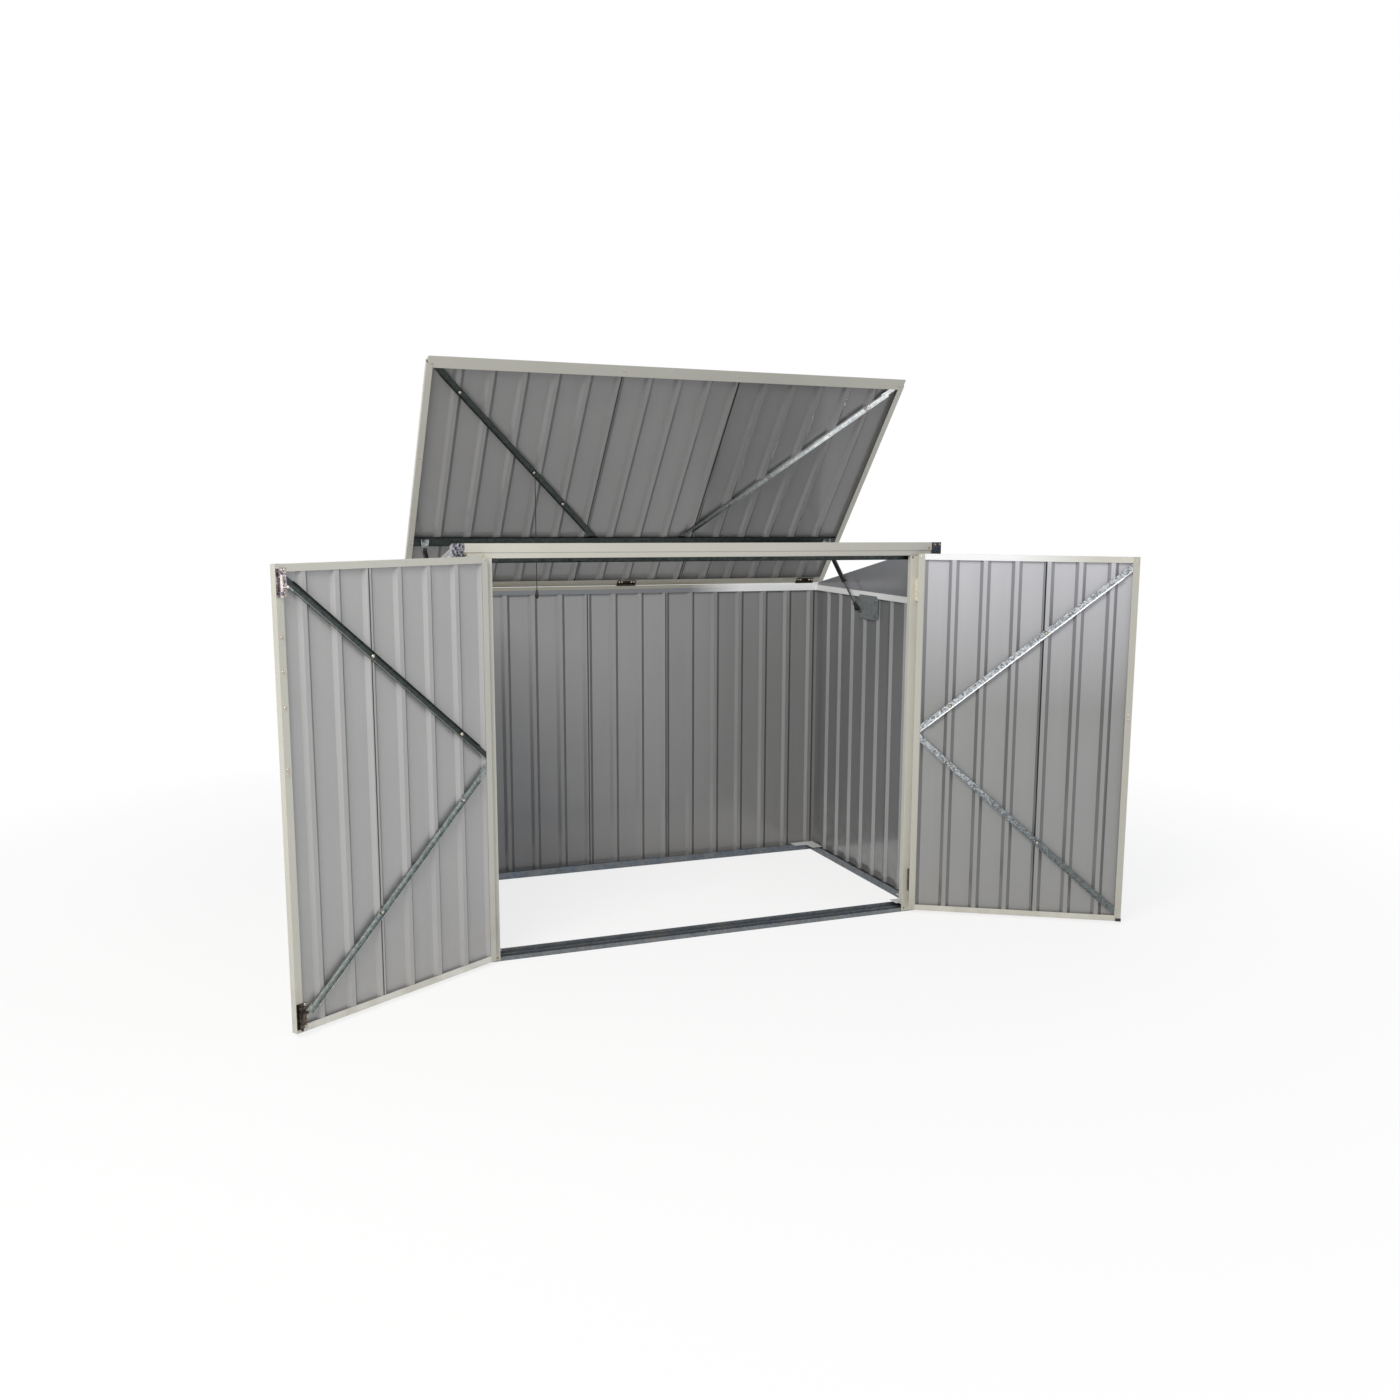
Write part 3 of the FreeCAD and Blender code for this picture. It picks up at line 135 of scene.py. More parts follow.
ahead = Vector((-math.sin(YAW) * math.cos(PITCH), math.cos(YAW) * math.cos(PITCH), math.sin(PITCH)))
level_right = Vector((math.cos(YAW), math.sin(YAW), 0))
level_up = level_right.cross(ahead)
right = level_right * math.cos(ROLL) + level_up * math.sin(ROLL)
up = level_up * math.cos(ROLL) - level_right * math.sin(ROLL)

lens = bpy.data.cameras.new("portrait_lens")
lens.sensor_width = SENSOR
lens.lens = SENSOR * FOCAL_PIXELS / FRAME_PIXELS
lens.shift_x = (FRAME_PIXELS / 2 - PRINCIPAL_POINT[0]) / FRAME_PIXELS
lens.shift_y = (PRINCIPAL_POINT[1] - FRAME_PIXELS / 2) / FRAME_PIXELS
lens.clip_end = 100
camera = new_object("portrait_camera", lens)
rows = Matrix((right, up, -ahead)).transposed().to_4x4()
camera.matrix_world = Matrix.Translation(CAMERA_PLACE) @ rows
bpy.context.scene.camera = camera
print("lens", round(lens.lens, 2), "mm, shift", round(lens.shift_x, 4), round(lens.shift_y, 4))


# %% [markdown]
# ## One helper for every node
# Shader trees are only nodes, settings and links. One small function adds a node, sets what it
# is told, and links a socket wherever the value given is another node's output. Colours are
# written as the sRGB hex a painter would read off a chart, and one function turns them linear.

# %% Node and colour helpers


def linear(hex_colour):
    """An sRGB hex colour as linear RGBA: each channel c becomes ((c + 0.055) / 1.055) ** 2.4."""
    channels = np.array([int(hex_colour[i : i + 2], 16) for i in (1, 3, 5)]) / 255
    bright = ((channels + 0.055) / 1.055) ** 2.4
    return (*np.where(channels > 0.04045, bright, channels / 12.92).tolist(), 1.0)


def add(tree, kind, sockets=None, **settings):
    """Adds a node; settings go on the node, and each socket takes a value, a colour's hex or
    another's output."""
    made = tree.nodes.new(kind)
    for name, value in settings.items():
        setattr(made, name, value)
    for name, value in (sockets or {}).items():
        socket = made.inputs[name]
        if isinstance(value, bpy.types.NodeSocket):
            tree.links.new(value, socket)
        else:
            socket.default_value = linear(value) if isinstance(value, str) else value
    return made


def per_mm(size):
    """The Scale of a pattern on metre coordinates whose features are size millimetres across."""
    return METRE / size


def new_material(name, **principled):
    """A new node material, its tree, its Principled shader and the piece's own coordinates."""
    material = bpy.data.materials.new(name)
    material.use_nodes = True
    tree = material.node_tree
    shader = tree.nodes["Principled BSDF"]
    for socket, value in principled.items():
        shader.inputs[socket.replace("_", " ")].default_value = value
    return material, tree, shader, add(tree, "ShaderNodeTexCoord").outputs


def plug(tree, shader, **outputs):
    """Links outputs to the shader's sockets, where a name's _ stands for a space."""
    for socket, output in outputs.items():
        tree.links.new(output, shader.inputs[socket.replace("_", " ")])


def axes(tree, vector):
    """The outputs X, Y and Z of a vector."""
    return add(tree, "ShaderNodeSeparateXYZ", {0: vector}).outputs


def fractal(tree, where, size, detail=3.0, roughness=0.55):
    """Cloudy noise whose clouds are size millimetres across."""
    sockets = {"Vector": where, "Scale": per_mm(size), "Detail": detail, "Roughness": roughness}
    return add(tree, "ShaderNodeTexNoise", sockets).outputs["Fac"]


def spread(tree, factor, low, high, out_low, out_high):
    """Factor from low to high becomes out_low to out_high, held at both ends."""
    sockets = {"Value": factor, "From Min": low, "From Max": high}
    sockets |= {"To Min": out_low, "To Max": out_high}
    return add(tree, "ShaderNodeMapRange", sockets).outputs["Result"]


def patchy(tree, where, size, detail, low, high):
    """A value that wanders from low to high in clouds of size millimetres."""
    return spread(tree, fractal(tree, where, size, detail), 0.3, 0.7, low, high)


def blended(tree, factor, first, second, blend="MIX"):
    """Colour that goes from first to second as factor goes from 0 to 1. The node has numbers
    and vectors under the same names, so its colour sockets are found by their places."""
    sockets = {0: factor, 6: first, 7: second}
    return add(tree, "ShaderNodeMix", sockets, data_type="RGBA", blend_type=blend).outputs[2]


def sums(tree, operation, first, second, clamp=False):
    """One arithmetic step on two values."""
    sockets = {0: first, 1: second}
    return add(tree, "ShaderNodeMath", sockets, operation=operation, use_clamp=clamp).outputs[0]


def times(tree, first, second):
    """The product of two values."""
    return sums(tree, "MULTIPLY", first, second)


def dotted(tree, first, second):
    """The dot product of two vectors, each a socket or three numbers."""
    node = add(tree, "ShaderNodeVectorMath", {0: first, 1: second}, operation="DOT_PRODUCT")
    return node.outputs["Value"]


def dimmed(tree, colour, factor):
    """The colour with its three channels times factor."""
    grey = add(tree, "ShaderNodeCombineColor", {0: factor, 1: factor, 2: factor}).outputs[0]
    return blended(tree, 1.0, colour, grey, "MULTIPLY")


def seen_directly(tree):
    """1 for rays of the camera, and for those that a mirror or a clear thing passes on, else 0."""
    ray = add(tree, "ShaderNodeLightPath").outputs
    seen = sums(tree, "MAXIMUM", ray["Is Camera Ray"], ray["Is Glossy Ray"])
    return sums(tree, "MAXIMUM", seen, ray["Is Transmission Ray"])


print("cream chip", [round(c, 3) for c in linear("#D9D6CB")])


# %% [markdown]
# ## Light and backdrop
# The photograph is a cut-out on white, taken outdoors under a bright hazy sky. So the world is
# an even soft light, one large lamp stands high on the left like the brighter part of the sky,
# and a weaker one opens the shade from the right. The camera and the reflections see plain
# white.

# %% World and lamps
SKY_STRENGTH = 0.5
SKY_COLOUR = "#F4F7FB"
WHITE = {"Color": (1, 1, 1, 1), "Strength": 1.0}
# Each lamp's place, target and width in metres, its power in watts, and its colour.
LAMPS = {
    "bright_sky": ((-3.2, -3.4, 4.2), (0.3, -0.3, 0.9), 2.6, 195, "#FFFCF5"),
    "shade_fill": ((3.6, -3.0, 2.4), (0, 0, 0.8), 3.0, 30, "#EEF3FF"),
}

bpy.context.scene.view_settings.view_transform = "Standard"
world = bpy.data.worlds.new("hazy_sky")
bpy.context.scene.world = world
world.use_nodes = True
sky_tree = world.node_tree
sky_tree.nodes.clear()
seen = seen_directly(sky_tree)
soft = add(sky_tree, "ShaderNodeBackground", {"Color": SKY_COLOUR, "Strength": SKY_STRENGTH})
plain = add(sky_tree, "ShaderNodeBackground", WHITE)
mixed = add(sky_tree, "ShaderNodeMixShader", {0: seen, 1: soft.outputs[0], 2: plain.outputs[0]})
add(sky_tree, "ShaderNodeOutputWorld", {"Surface": mixed.outputs[0]})


def soft_lamp(name, place, target, size, power, colour):
    """A square area lamp that looks from place at target, both in metres."""
    lamp = bpy.data.lights.new(name, "AREA")
    lamp.shape = "SQUARE"
    lamp.size = size
    lamp.energy = power
    lamp.color = linear(colour)[:3]
    holder = new_object(name, lamp)
    turn = (Vector(target) - Vector(place)).to_track_quat("-Z", "Y").to_matrix().to_4x4()
    holder.matrix_world = Matrix.Translation(place) @ turn


for name, settings in LAMPS.items():
    soft_lamp(name, *settings)
print("sky strength", SKY_STRENGTH, "and lamps", list(LAMPS))


# %% [markdown]
# ## A floor that keeps only the shadow
# The floor is a pale sheet: most of what the camera sees of it is plain white, and a small
# share of the lit sheet shows through, so that it keeps the store's shadow. The share falls to
# nothing away from the store, and there the floor can't be told from the backdrop.

# %% Floor
FLOOR_REACH = 14
FLOOR_COLOUR = "#F2F2F1"
SHADOW_SHARE = 0.22  # how much of the lit floor shows through the white, which is its shadow
SHADOW_NEAR, SHADOW_FAR = 1.5, 3.4  # metres from the store's middle where the shadow fades out

corners = [(x * FLOOR_REACH, y * FLOOR_REACH, 0) for x, y in ((-1, -1), (1, -1), (1, 1), (-1, 1))]
floor_mesh = bpy.data.meshes.new("pale_floor")
floor_mesh.from_pydata(corners, [], [(0, 1, 2, 3)])
floor = new_object("pale_floor", floor_mesh)
floor_paint, floor_tree, floor_shader, floor_at = new_material("pale_floor_paint", Roughness=0.9)
floor_shader.inputs["Base Color"].default_value = linear(FLOOR_COLOUR)
floor_shader.inputs["Specular IOR Level"].default_value = 0.1
shown = seen_directly(floor_tree)
away = add(floor_tree, "ShaderNodeVectorMath", {0: floor_at["Object"]}, operation="LENGTH")
far = spread(floor_tree, away.outputs["Value"], SHADOW_NEAR, SHADOW_FAR, 1 - SHADOW_SHARE, 1.0)
glow = add(floor_tree, "ShaderNodeEmission", WHITE)
sockets = {0: times(floor_tree, shown, far), 1: floor_shader.outputs[0], 2: glow.outputs[0]}
whitened = add(floor_tree, "ShaderNodeMixShader", sockets)
floor_tree.links.new(whitened.outputs[0], floor_tree.nodes["Material Output"].inputs["Surface"])
floor_mesh.materials.append(floor_paint)
floor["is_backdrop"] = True
print("floor", 2 * FLOOR_REACH, "m wide, with", SHADOW_SHARE, "of its light showing near the store")


# %% [markdown]
# ## Wear that any outdoor steel shows
# Three things give painted or plated steel away: its edges are a little rounded and catch the
# light, its flat parts are never quite flat, and dust and splashes gather near the ground. The
# Bevel node gives the first as a shading normal. Comparing that normal with the true one gives
# a mask of the edges, where paint is thinner. Slow noise as bump gives the second, and the
# height above the ground, broken up by noise, the third.

# %% Edge, waviness and dust helpers
EDGE_ROUND = 0.9  # millimetres, the bend radius of 1 mm sheet
EDGE_LEAN = (0.99, 0.75)  # the cosines between which a leaning normal counts as a fold
BEVEL_SAMPLES = 4
DUST_HEIGHT = 260  # millimetres that rain splashes reach
DUST_CLOUDS = 60  # millimetres


def rounded_normal(tree, radius):
    """The normal as if every fold had this radius in millimetres."""
    return add(tree, "ShaderNodeBevel", {"Radius": radius * MM}, samples=BEVEL_SAMPLES).outputs[0]


def edge_mask(tree, radius=EDGE_ROUND):
    """1 on folded edges and 0 on flats, from how far the rounded normal leans, and that normal."""
    rounded = rounded_normal(tree, radius)
    true = add(tree, "ShaderNodeNewGeometry")
    lean = dotted(tree, rounded, true.outputs["Normal"])
    return spread(tree, lean, *EDGE_LEAN, 0.0, 1.0), rounded


def dust_mask(tree, where, most):
    """Splash dust: most at the ground, none above DUST_HEIGHT, broken into clouds."""
    height = axes(tree, where)["Z"]
    low = spread(tree, height, 0.0, DUST_HEIGHT * MM, 1.0, 0.0)
    clouds = spread(tree, fractal(tree, where, DUST_CLOUDS, 5), 0.35, 0.75, 0.0, 1.0)
    return times(tree, times(tree, low, clouds), most)


def bumped_over(tree, shader, base, *layers):
    """Stacks bump maps, each (height, distance in mm, strength), on the normal base."""
    normal = base
    for height, distance, strength in layers:
        sockets = {"Height": height, "Distance": distance * MM, "Strength": strength}
        normal = add(tree, "ShaderNodeBump", sockets | {"Normal": normal}).outputs["Normal"]
    tree.links.new(normal, shader.inputs["Normal"])


print("edges rounded by", EDGE_ROUND, "mm")


# %% [markdown]
# ## Powder coat on folded steel
# Powder coat is dry polyester paint melted on in an oven. Up close it has a faint orange peel,
# it is thinner and paler along folds, and it dulls unevenly outdoors. That is all this
# material draws: a base colour with slow variation, paler edges, low dust, a satin roughness
# that wanders, and two bumps, one for orange peel and one for the sheet's waviness. A coat
# can also go over to another colour in a region, and such regions paint light and shade
# into the colour of the trims.

# %% Powder coat
CREAM = "#CFCDC3"
CREAM_PALE = "#DEDCD3"
DUST = "#9A8F7C"
FOLD_SHARE = 0.55  # how far the paint goes over to its paler colour along a fold
COAT_DUST = 0.4
# Sizes of the patterns in millimetres.
FADED_PATCH = 420
DULL_PATCH = 90
ORANGE_PEEL = 2.5  # the real one is near 1 mm, and is drawn coarser to show
SHEET_WAVE = 160


def powder_coat(name, colour, pale, *regions):
    """Powder coat. A region is (masks, colour): the paint goes over to that colour where every
    (measure, from, to) in masks has passed from its first to its second value. A measure is a
    place in metres, "X" say, or a part of the surface's direction, "looks X" say."""
    material, tree, shader, at = new_material(name, Roughness=0.4)
    where = at["Object"]
    edges, rounded = edge_mask(tree)
    slow = patchy(tree, where, FADED_PATCH, 2, 0.955, 1.02)
    base = colour
    places = axes(tree, where)
    looks = axes(tree, at["Normal"])
    measures = {axis: places[axis] for axis in "XYZ"}
    measures |= {f"looks {axis}": looks[axis] for axis in "XYZ"}
    for masks, other_colour in regions:
        share = 1.0
        for measure, start, end in masks:
            passed = spread(tree, measures[measure], start, end, 0.0, 1.0)
            share = times(tree, passed, share)
        base = blended(tree, share, base, other_colour)
    paint = dimmed(tree, base, slow)
    paint = blended(tree, times(tree, edges, FOLD_SHARE), paint, pale)
    paint = blended(tree, dust_mask(tree, where, COAT_DUST), paint, DUST)
    satin = patchy(tree, where, DULL_PATCH, 4, 0.33, 0.47)
    plug(tree, shader, Base_Color=paint, Roughness=satin)
    peel = fractal(tree, where, ORANGE_PEEL, 1)
    wavy = fractal(tree, where, SHEET_WAVE, 1)
    bumped_over(tree, shader, rounded, (wavy, 6, 0.25), (peel, 0.05, 0.25))
    return material


cream_powder_coat = powder_coat("cream_powder_coat_steel", CREAM, CREAM_PALE)
print("made", cream_powder_coat.name)


# %% [markdown]
# ## Painted light and shade on the trims
# The trims are all one cream, drawn in lit and shaded copies. The header darkens to the right,
# a painted shade, the rails of the left door pale towards the ground, painted light, and the
# right door's top rail carries a painted highlight near the hinge, where the light strikes it.
# The lid's trims, the hinge rail and the door stiles, most of all on the right, are darker
# copies, painted shade.

# %% Powder-coated trims
# The header is one cream; its right-hand colour is painted shade.
HEADER_LEFT, HEADER_RIGHT_PAINTED_SHADE = "#C6C4BA", "#AFADA5"
header_painted_shade = powder_coat(
    "powder_coat_header", HEADER_LEFT, CREAM_PALE, ([("X", -0.8, 0.8)], HEADER_RIGHT_PAINTED_SHADE)
)
# The darker creams on the lid's trims and on the hinge rail are painted shade.
lid_trims_painted_shade = powder_coat("powder_coat_lid_trims", "#C3C1B8", CREAM_PALE)
hinge_rail_painted_shade = powder_coat("powder_coat_hinge_rail", "#AFACA0", "#C9C6BA")
# The near white on the right door's top rail, high up near the hinge, is a painted highlight.
painted_highlight_near_hinge = [("Z", 0.6, 1.2), ("X", 1.25, 1.0), ("looks Y", 0.2, 0.0)]
right_rails_painted_highlight = powder_coat(
    "powder_coat_right_door_rails", CREAM, "#E4E3DD", (painted_highlight_near_hinge, "#F4F5F6")
)
# The paler cream low on the left door's rails is painted light.
left_rails_painted_light = powder_coat(
    "powder_coat_left_door_rails", "#DEDCD4", CREAM_PALE, ([("Z", 0.2, 1.0)], "#C9C7BD")
)
# The darker cream on the stiles, most of all on the right, is painted shade.
stiles_painted_shade = powder_coat(
    "powder_coat_door_stiles", "#C6C4BA", CREAM_PALE, ([("X", 0.6, 0.8)], "#B9B7AD")
)
print("header from", HEADER_LEFT, "to", HEADER_RIGHT_PAINTED_SHADE, "and five more trims")


# %% [markdown]
# ## Pre-painted ribbed sheet
# The sheet comes off the coil already painted: a cream top coat on the face meant for outside
# and a thin grey backing coat on the other. The same material therefore has to know which side
# it is on. In the panel's own coordinates the outside direction is fixed, so the dot product of
# the normal with it tells the sides apart. On the side walls, one node holds both walls, and
# there the sign of X turns the direction round. Two things help the eye to read the ribs: a
# painted shadow in the open laps between sheets, drawn a few millimetres wide, which is wider
# than the real gap, and painted light and shade on the rib walls, which are lighter or darker
# as they would mirror the sky or the ground.

# %% Two-sided coil coat
BARE_EDGE = "#B9BBBB"
LAP_SHADOW_DARK = "#1F2423"
LAP_SHADOW_SHARE = 0.95
SHEET_DUST = 0.25
BEND_ROUND = 0.7  # millimetres, the rounding of a rib's folds
# Sizes of the patterns in millimetres.
ROLLER_MARK = 26
SHEET_CLOUD = 260
ROLLED_WAVE = 160


def side_facing(tree, at, outward):
    """How far the surface looks along outward, a direction, or away from the middle for None."""
    normal = at["Normal"]
    if outward is not None:
        return dotted(tree, normal, outward)
    nx = axes(tree, normal)["X"]
    x = axes(tree, at["Object"])["X"]
    return times(tree, nx, sums(tree, "SIGN", x, 0.0))


def distance_along(tree, where, origin, direction):
    """Millimetres from origin along direction, both given in metres."""
    from_origin = add(tree, "ShaderNodeVectorMath", {0: where, 1: origin}, operation="SUBTRACT")
    return times(tree, dotted(tree, from_origin.outputs[0], direction), METRE)


def line_mask(tree, distance, place, half_width):
    """1 where distance is within half_width of place, with edges half a millimetre soft."""
    off = sums(tree, "ABSOLUTE", sums(tree, "SUBTRACT", distance, place), 0.0)
    return spread(tree, off, half_width - 0.25, half_width + 0.25, 1.0, 0.0)


def painted_rib_wall_light(tree, normal, direction, lit, shaded):
    """The factor lit where a surface leans along direction, shaded where it leans back, or 1."""
    turned = dotted(tree, normal, direction)
    bright = spread(tree, turned, 0.25, 0.5, 1.0, lit)
    dim = spread(tree, turned, -0.5, -0.25, shaded, 1.0)
    return times(tree, bright, dim)


def lap_painted_shadow(tree, where, across, line, place, half_width):
    """1 in an open lap: measured from line, an origin and direction, or across in X for None."""
    if line is None:
        measured = times(tree, across, METRE)
    else:
        measured = distance_along(tree, where, *line)
    return line_mask(tree, measured, place, half_width)


def coil_coat(
    name, outward, rolled_along, backing_greys_and_painted_light, lap_shadow_places=(), walls=None, darker_beyond=None, foot_dust_and_painted_light=DUST
):
    """Coil-coated sheet. rolled_along stretches the roller marks along the ribs.
    backing_greys_and_painted_light are the backing coat low down and high up with the two
    heights in metres, and they also paint the panel's light and shade. lap_shadow_places are
    (line, place, half width) of painted shadow in the open laps, where line is an origin and
    direction or None for X. walls is (direction, lit, shaded): rib walls that look along
    direction are lit times as light, and those that look back shaded times, painted light and
    shade. darker_beyond is (place in X, factor). foot_dust_and_painted_light is the colour of
    the patches near the ground: dust by default, and painted light on the side walls."""
    material, tree, shader, at = new_material(name, Roughness=0.2)
    where = at["Object"]
    places = axes(tree, where)
    facing = side_facing(tree, at, outward)
    outside = spread(tree, facing, 0.2, 0.3, 0.0, 1.0)
    inside = spread(tree, facing, -0.2, -0.3, 0.0, 1.0)
    stretched = add(tree, "ShaderNodeMapping", {"Vector": where, "Scale": rolled_along}).outputs[0]
    marks = fractal(tree, stretched, ROLLER_MARK, 3)
    low, high, low_height, high_height = backing_greys_and_painted_light
    climb = spread(tree, places["Z"], low_height, high_height, 0.0, 1.0)
    grey = blended(tree, climb, low, high)
    streak = spread(tree, marks, 0.3, 0.7, 0.985, 1.015)
    cloud = patchy(tree, where, SHEET_CLOUD, 2, 0.98, 1.02)
    tone = times(tree, streak, cloud)
    grey = dimmed(tree, grey, tone)
    # Lighter and darker rib walls, by the way they look, are painted light and painted shade.
    if walls:
        grey = dimmed(tree, grey, painted_rib_wall_light(tree, at["Normal"], *walls))
    if darker_beyond:
        place, factor = darker_beyond
        grey = dimmed(tree, grey, spread(tree, places["X"], place - MM, place + MM, 1.0, factor))
    paint = blended(tree, inside, BARE_EDGE, grey)
    paint = blended(tree, outside, paint, dimmed(tree, CREAM, tone))
    # The dark line in each open lap is a painted shadow.
    for open_lap in lap_shadow_places:
        lap_shadow = times(tree, lap_painted_shadow(tree, where, places["X"], *open_lap), inside)
        paint = blended(tree, times(tree, lap_shadow, LAP_SHADOW_SHARE), paint, LAP_SHADOW_DARK)
    paint = blended(tree, dust_mask(tree, where, SHEET_DUST), paint, foot_dust_and_painted_light)
    gloss = spread(tree, marks, 0.3, 0.7, 0.12, 0.18)
    plug(tree, shader, Base_Color=paint, Roughness=gloss)
    wavy = fractal(tree, stretched, ROLLED_WAVE, 1)
    bumped_over(tree, shader, rounded_normal(tree, BEND_ROUND), (wavy, 2, 0.2))
    return material


print("laps drawn with", LAP_SHADOW_DARK, "grime, folds rounded by", BEND_ROUND, "mm")


# %% [markdown]
# ## One coat for each panel
# Each panel lies at its own angle to the sky, so its backing coat has its own pair of greys,
# low down and high up, which paint the panel's light and shade into its colour. A seam's
# painted shadow lies where the photograph shows its dark line: in X on the lid and the back
# wall, out from the hinge edge on a door, and in Y on a side wall. The right-hand sheet of the
# lid and that of the back wall are a shade darker than their neighbours.

# %% Panels


def direction_of(bench, axis):
    """A bench axis as a unit direction in the store's frame."""
    return (bench.to_3x3() @ Vector(axis)).normalized()


ALONG_Z = (1.0, 1.0, 0.03)
ALONG_SLOPE = (1.0, 0.04, 0.04)
SIDE_LINE = ((0, 0, 0), (0, 1, 0))
left_line = (left_door.translation, direction_of(left_door, (1, 0, 0)))
right_line = (right_door.translation, direction_of(right_door, (1, 0, 0)))
coil_coats = {
    "lid_sheet": coil_coat(
        "coil_coat_lid_sheet", direction_of(lid, (0, 0, 1)), ALONG_SLOPE,
        ("#959494", "#8D8C8C", 1.35, 1.85), lap_shadow_places=[(None, -206.0, 2.6), (None, 213.5, 3.5)],
        walls=((-1, 0, 0), 1.0, 0.7), darker_beyond=(0.212, 0.88),
    ),
    # The right door's pale grey high up is a painted reflection of the sky.
    "right_door_sheet": coil_coat(
        "coil_coat_right_door_sheet", direction_of(right_door, (0, 1, 0)), ALONG_Z,
        ("#949494", "#C6C6CC", 0.75, 1.28), lap_shadow_places=[(right_line, 430.0, 2.4)],
        walls=(right_line[1], 0.54, 0.57),
    ),
    "left_door_sheet": coil_coat(
        "coil_coat_left_door_sheet", direction_of(left_door, (0, 1, 0)), ALONG_Z,
        ("#A9A8A8", "#B0AFAF", 0.2, 1.2), lap_shadow_places=[(left_line, 439.5, 2.3)],
        walls=(left_line[1], 1.03, 0.6),
    ),
    "back_sheet": coil_coat(
        "coil_coat_back_sheet", (0, 1, 0), ALONG_Z,
        ("#979798", "#959596", 0.2, 1.1), lap_shadow_places=[(None, 159.5, 2.6), (None, -158.0, 2.4)],
        walls=((-1, 0, 0), 1.12, 0.62), darker_beyond=(0.158, 0.88),
    ),
    # On the side walls the strong rib-wall factors are painted light and shade, and the pale
    # patches near the ground are painted light that leaks in under the wall.
    "side_sheets": coil_coat(
        "coil_coat_side_sheet", None, ALONG_Z,
        ("#78797A", "#7A7B7D", 0.1, 1.1), lap_shadow_places=[(SIDE_LINE, -164.5, 1.6)],
        walls=((0, -1, 0), 1.75, 0.75), foot_dust_and_painted_light="#D5D6D4",
    ),
}
gable_coat = coil_coat("coil_coat_gable", None, (1.0, 1.0, 1.0), ("#7C7D81", "#8A8C92", 1.0, 1.3))
print("made", len(coil_coats), "coil coats and", gable_coat.name)


# %% [markdown]
# ## Galvanised steel
# Hot-dipped zinc freezes in crystals, the spangle: flat cells some 10 mm across, each with its
# own brightness and its own polish. A Voronoi texture is exactly such cells. It is a metal, so
# metallic is 1 and the colour is the reflection's tint. Only where the zinc has oxidised to a
# dull film is metallic 0. The base rails have dulled more than the brackets.

# %% Galvanised metals
ZINC_ROUND = 0.7  # millimetres
ZINC_DUST = 0.35
# Sizes of the patterns in millimetres.
POLISH_PATCH = 30
PLATE_WAVE = 55
# This near-black pair paints the dark reflection of the store's shaded inside.
DARK_REFLECTION_PAIR = ("#474D4B", "#393F3D")


def spangled_zinc(
    name, colour, dark, spangle, smooth, rough, edge="#E6E9EA", edge_highlight_share=0.4, beyond=None,
    painted_highlight_line=None, metallic=1.0,
):
    """Plated or dipped steel: spangle cells, and folded edges that go over to the edge colour,
    a painted highlight. beyond is (axis, from, to, colour, dark): from the first to the second
    place in metres the pair of colours changes, a painted change of light. painted_highlight_line
    is (origin, direction, place, half width, colour), a painted highlight on the fold that
    catches the sky."""
    material, tree, shader, at = new_material(name, Metallic=metallic, Roughness=0.3)
    where = at["Object"]
    edges, rounded = edge_mask(tree, ZINC_ROUND)
    sockets = {"Vector": where, "Scale": per_mm(spangle), "Randomness": 1.0}
    cells = add(tree, "ShaderNodeTexVoronoi", sockets).outputs["Color"]
    shade = add(tree, "ShaderNodeSeparateColor", {0: cells}).outputs[0]
    metal = blended(tree, shade, colour, dark)
    if beyond:
        axis, start, end, other_colour, other_dark = beyond
        measured = axes(tree, where)[axis]
        share = spread(tree, measured, start, end, 0.0, 1.0)
        other = blended(tree, shade, other_colour, other_dark)
        metal = blended(tree, share, metal, other)
    if painted_highlight_line:
        origin, direction, place, half_width, highlight_colour = painted_highlight_line
        measured = distance_along(tree, where, origin, direction)
        line = line_mask(tree, measured, place, half_width)
        metal = blended(tree, line, metal, highlight_colour)
    metal = blended(tree, dust_mask(tree, where, ZINC_DUST), metal, DUST)
    # The edge colour on the folds is a painted highlight.
    metal = blended(tree, times(tree, edges, edge_highlight_share), metal, edge)
    cloud = spread(tree, fractal(tree, where, POLISH_PATCH, 3), 0.35, 0.65, -0.04, 0.06)
    blur = spread(tree, shade, 0.0, 1.0, smooth, rough)
    plug(tree, shader, Base_Color=metal, Roughness=sums(tree, "ADD", blur, cloud, True))
    wavy = fractal(tree, where, PLATE_WAVE, 2)
    bumped_over(tree, shader, rounded, (wavy, 1.5, 0.3), (shade, 0.03, 0.15))
    return material


galvanised = spangled_zinc("galvanised_steel_spangled", "#B9BEC1", "#8E9498", 8, 0.22, 0.36)
plate_steel = spangled_zinc(
    "oxidised_zinc_spring_plates", "#82888B", "#6C7275", 6, 0.4, 0.5, edge="#BFC5C8",
    edge_highlight_share=0.6, metallic=0.0,
)
# This near-black copy paints the dark reflection of the shaded inside onto the header's channel,
# the lid's mid rail and the brace washers.
galvanised_painted_dark_reflection = spangled_zinc(
    "galvanised_steel_darkened", *DARK_REFLECTION_PAIR, 8, 0.34, 0.44, edge="#7F8A88", edge_highlight_share=0.2
)
weathered = spangled_zinc(
    "galvanised_steel_base_rail", "#66707A", "#575F68", 9, 0.34, 0.45, edge="#A9B0B6"
)
front_rail_steel = spangled_zinc(
    "galvanised_steel_front_base_rail", "#767D84", "#646A71", 9, 0.34, 0.45, edge="#8B8E91"
)
print("galvanised:", [m.name for m in (galvanised, plate_steel, galvanised_painted_dark_reflection, weathered)])


# %% [markdown]
# ## Braces with painted reflections of the sky and the dark
# The braces look almost black or almost white in the photograph, because they mirror either the
# dark store or the bright sky. So each goes from one pair of colours to another with its place:
# the lid's with X, and the doors' with the height, where the upper brace meets the lower one.
# The lower fold of each door's upper brace shows as one bright line.

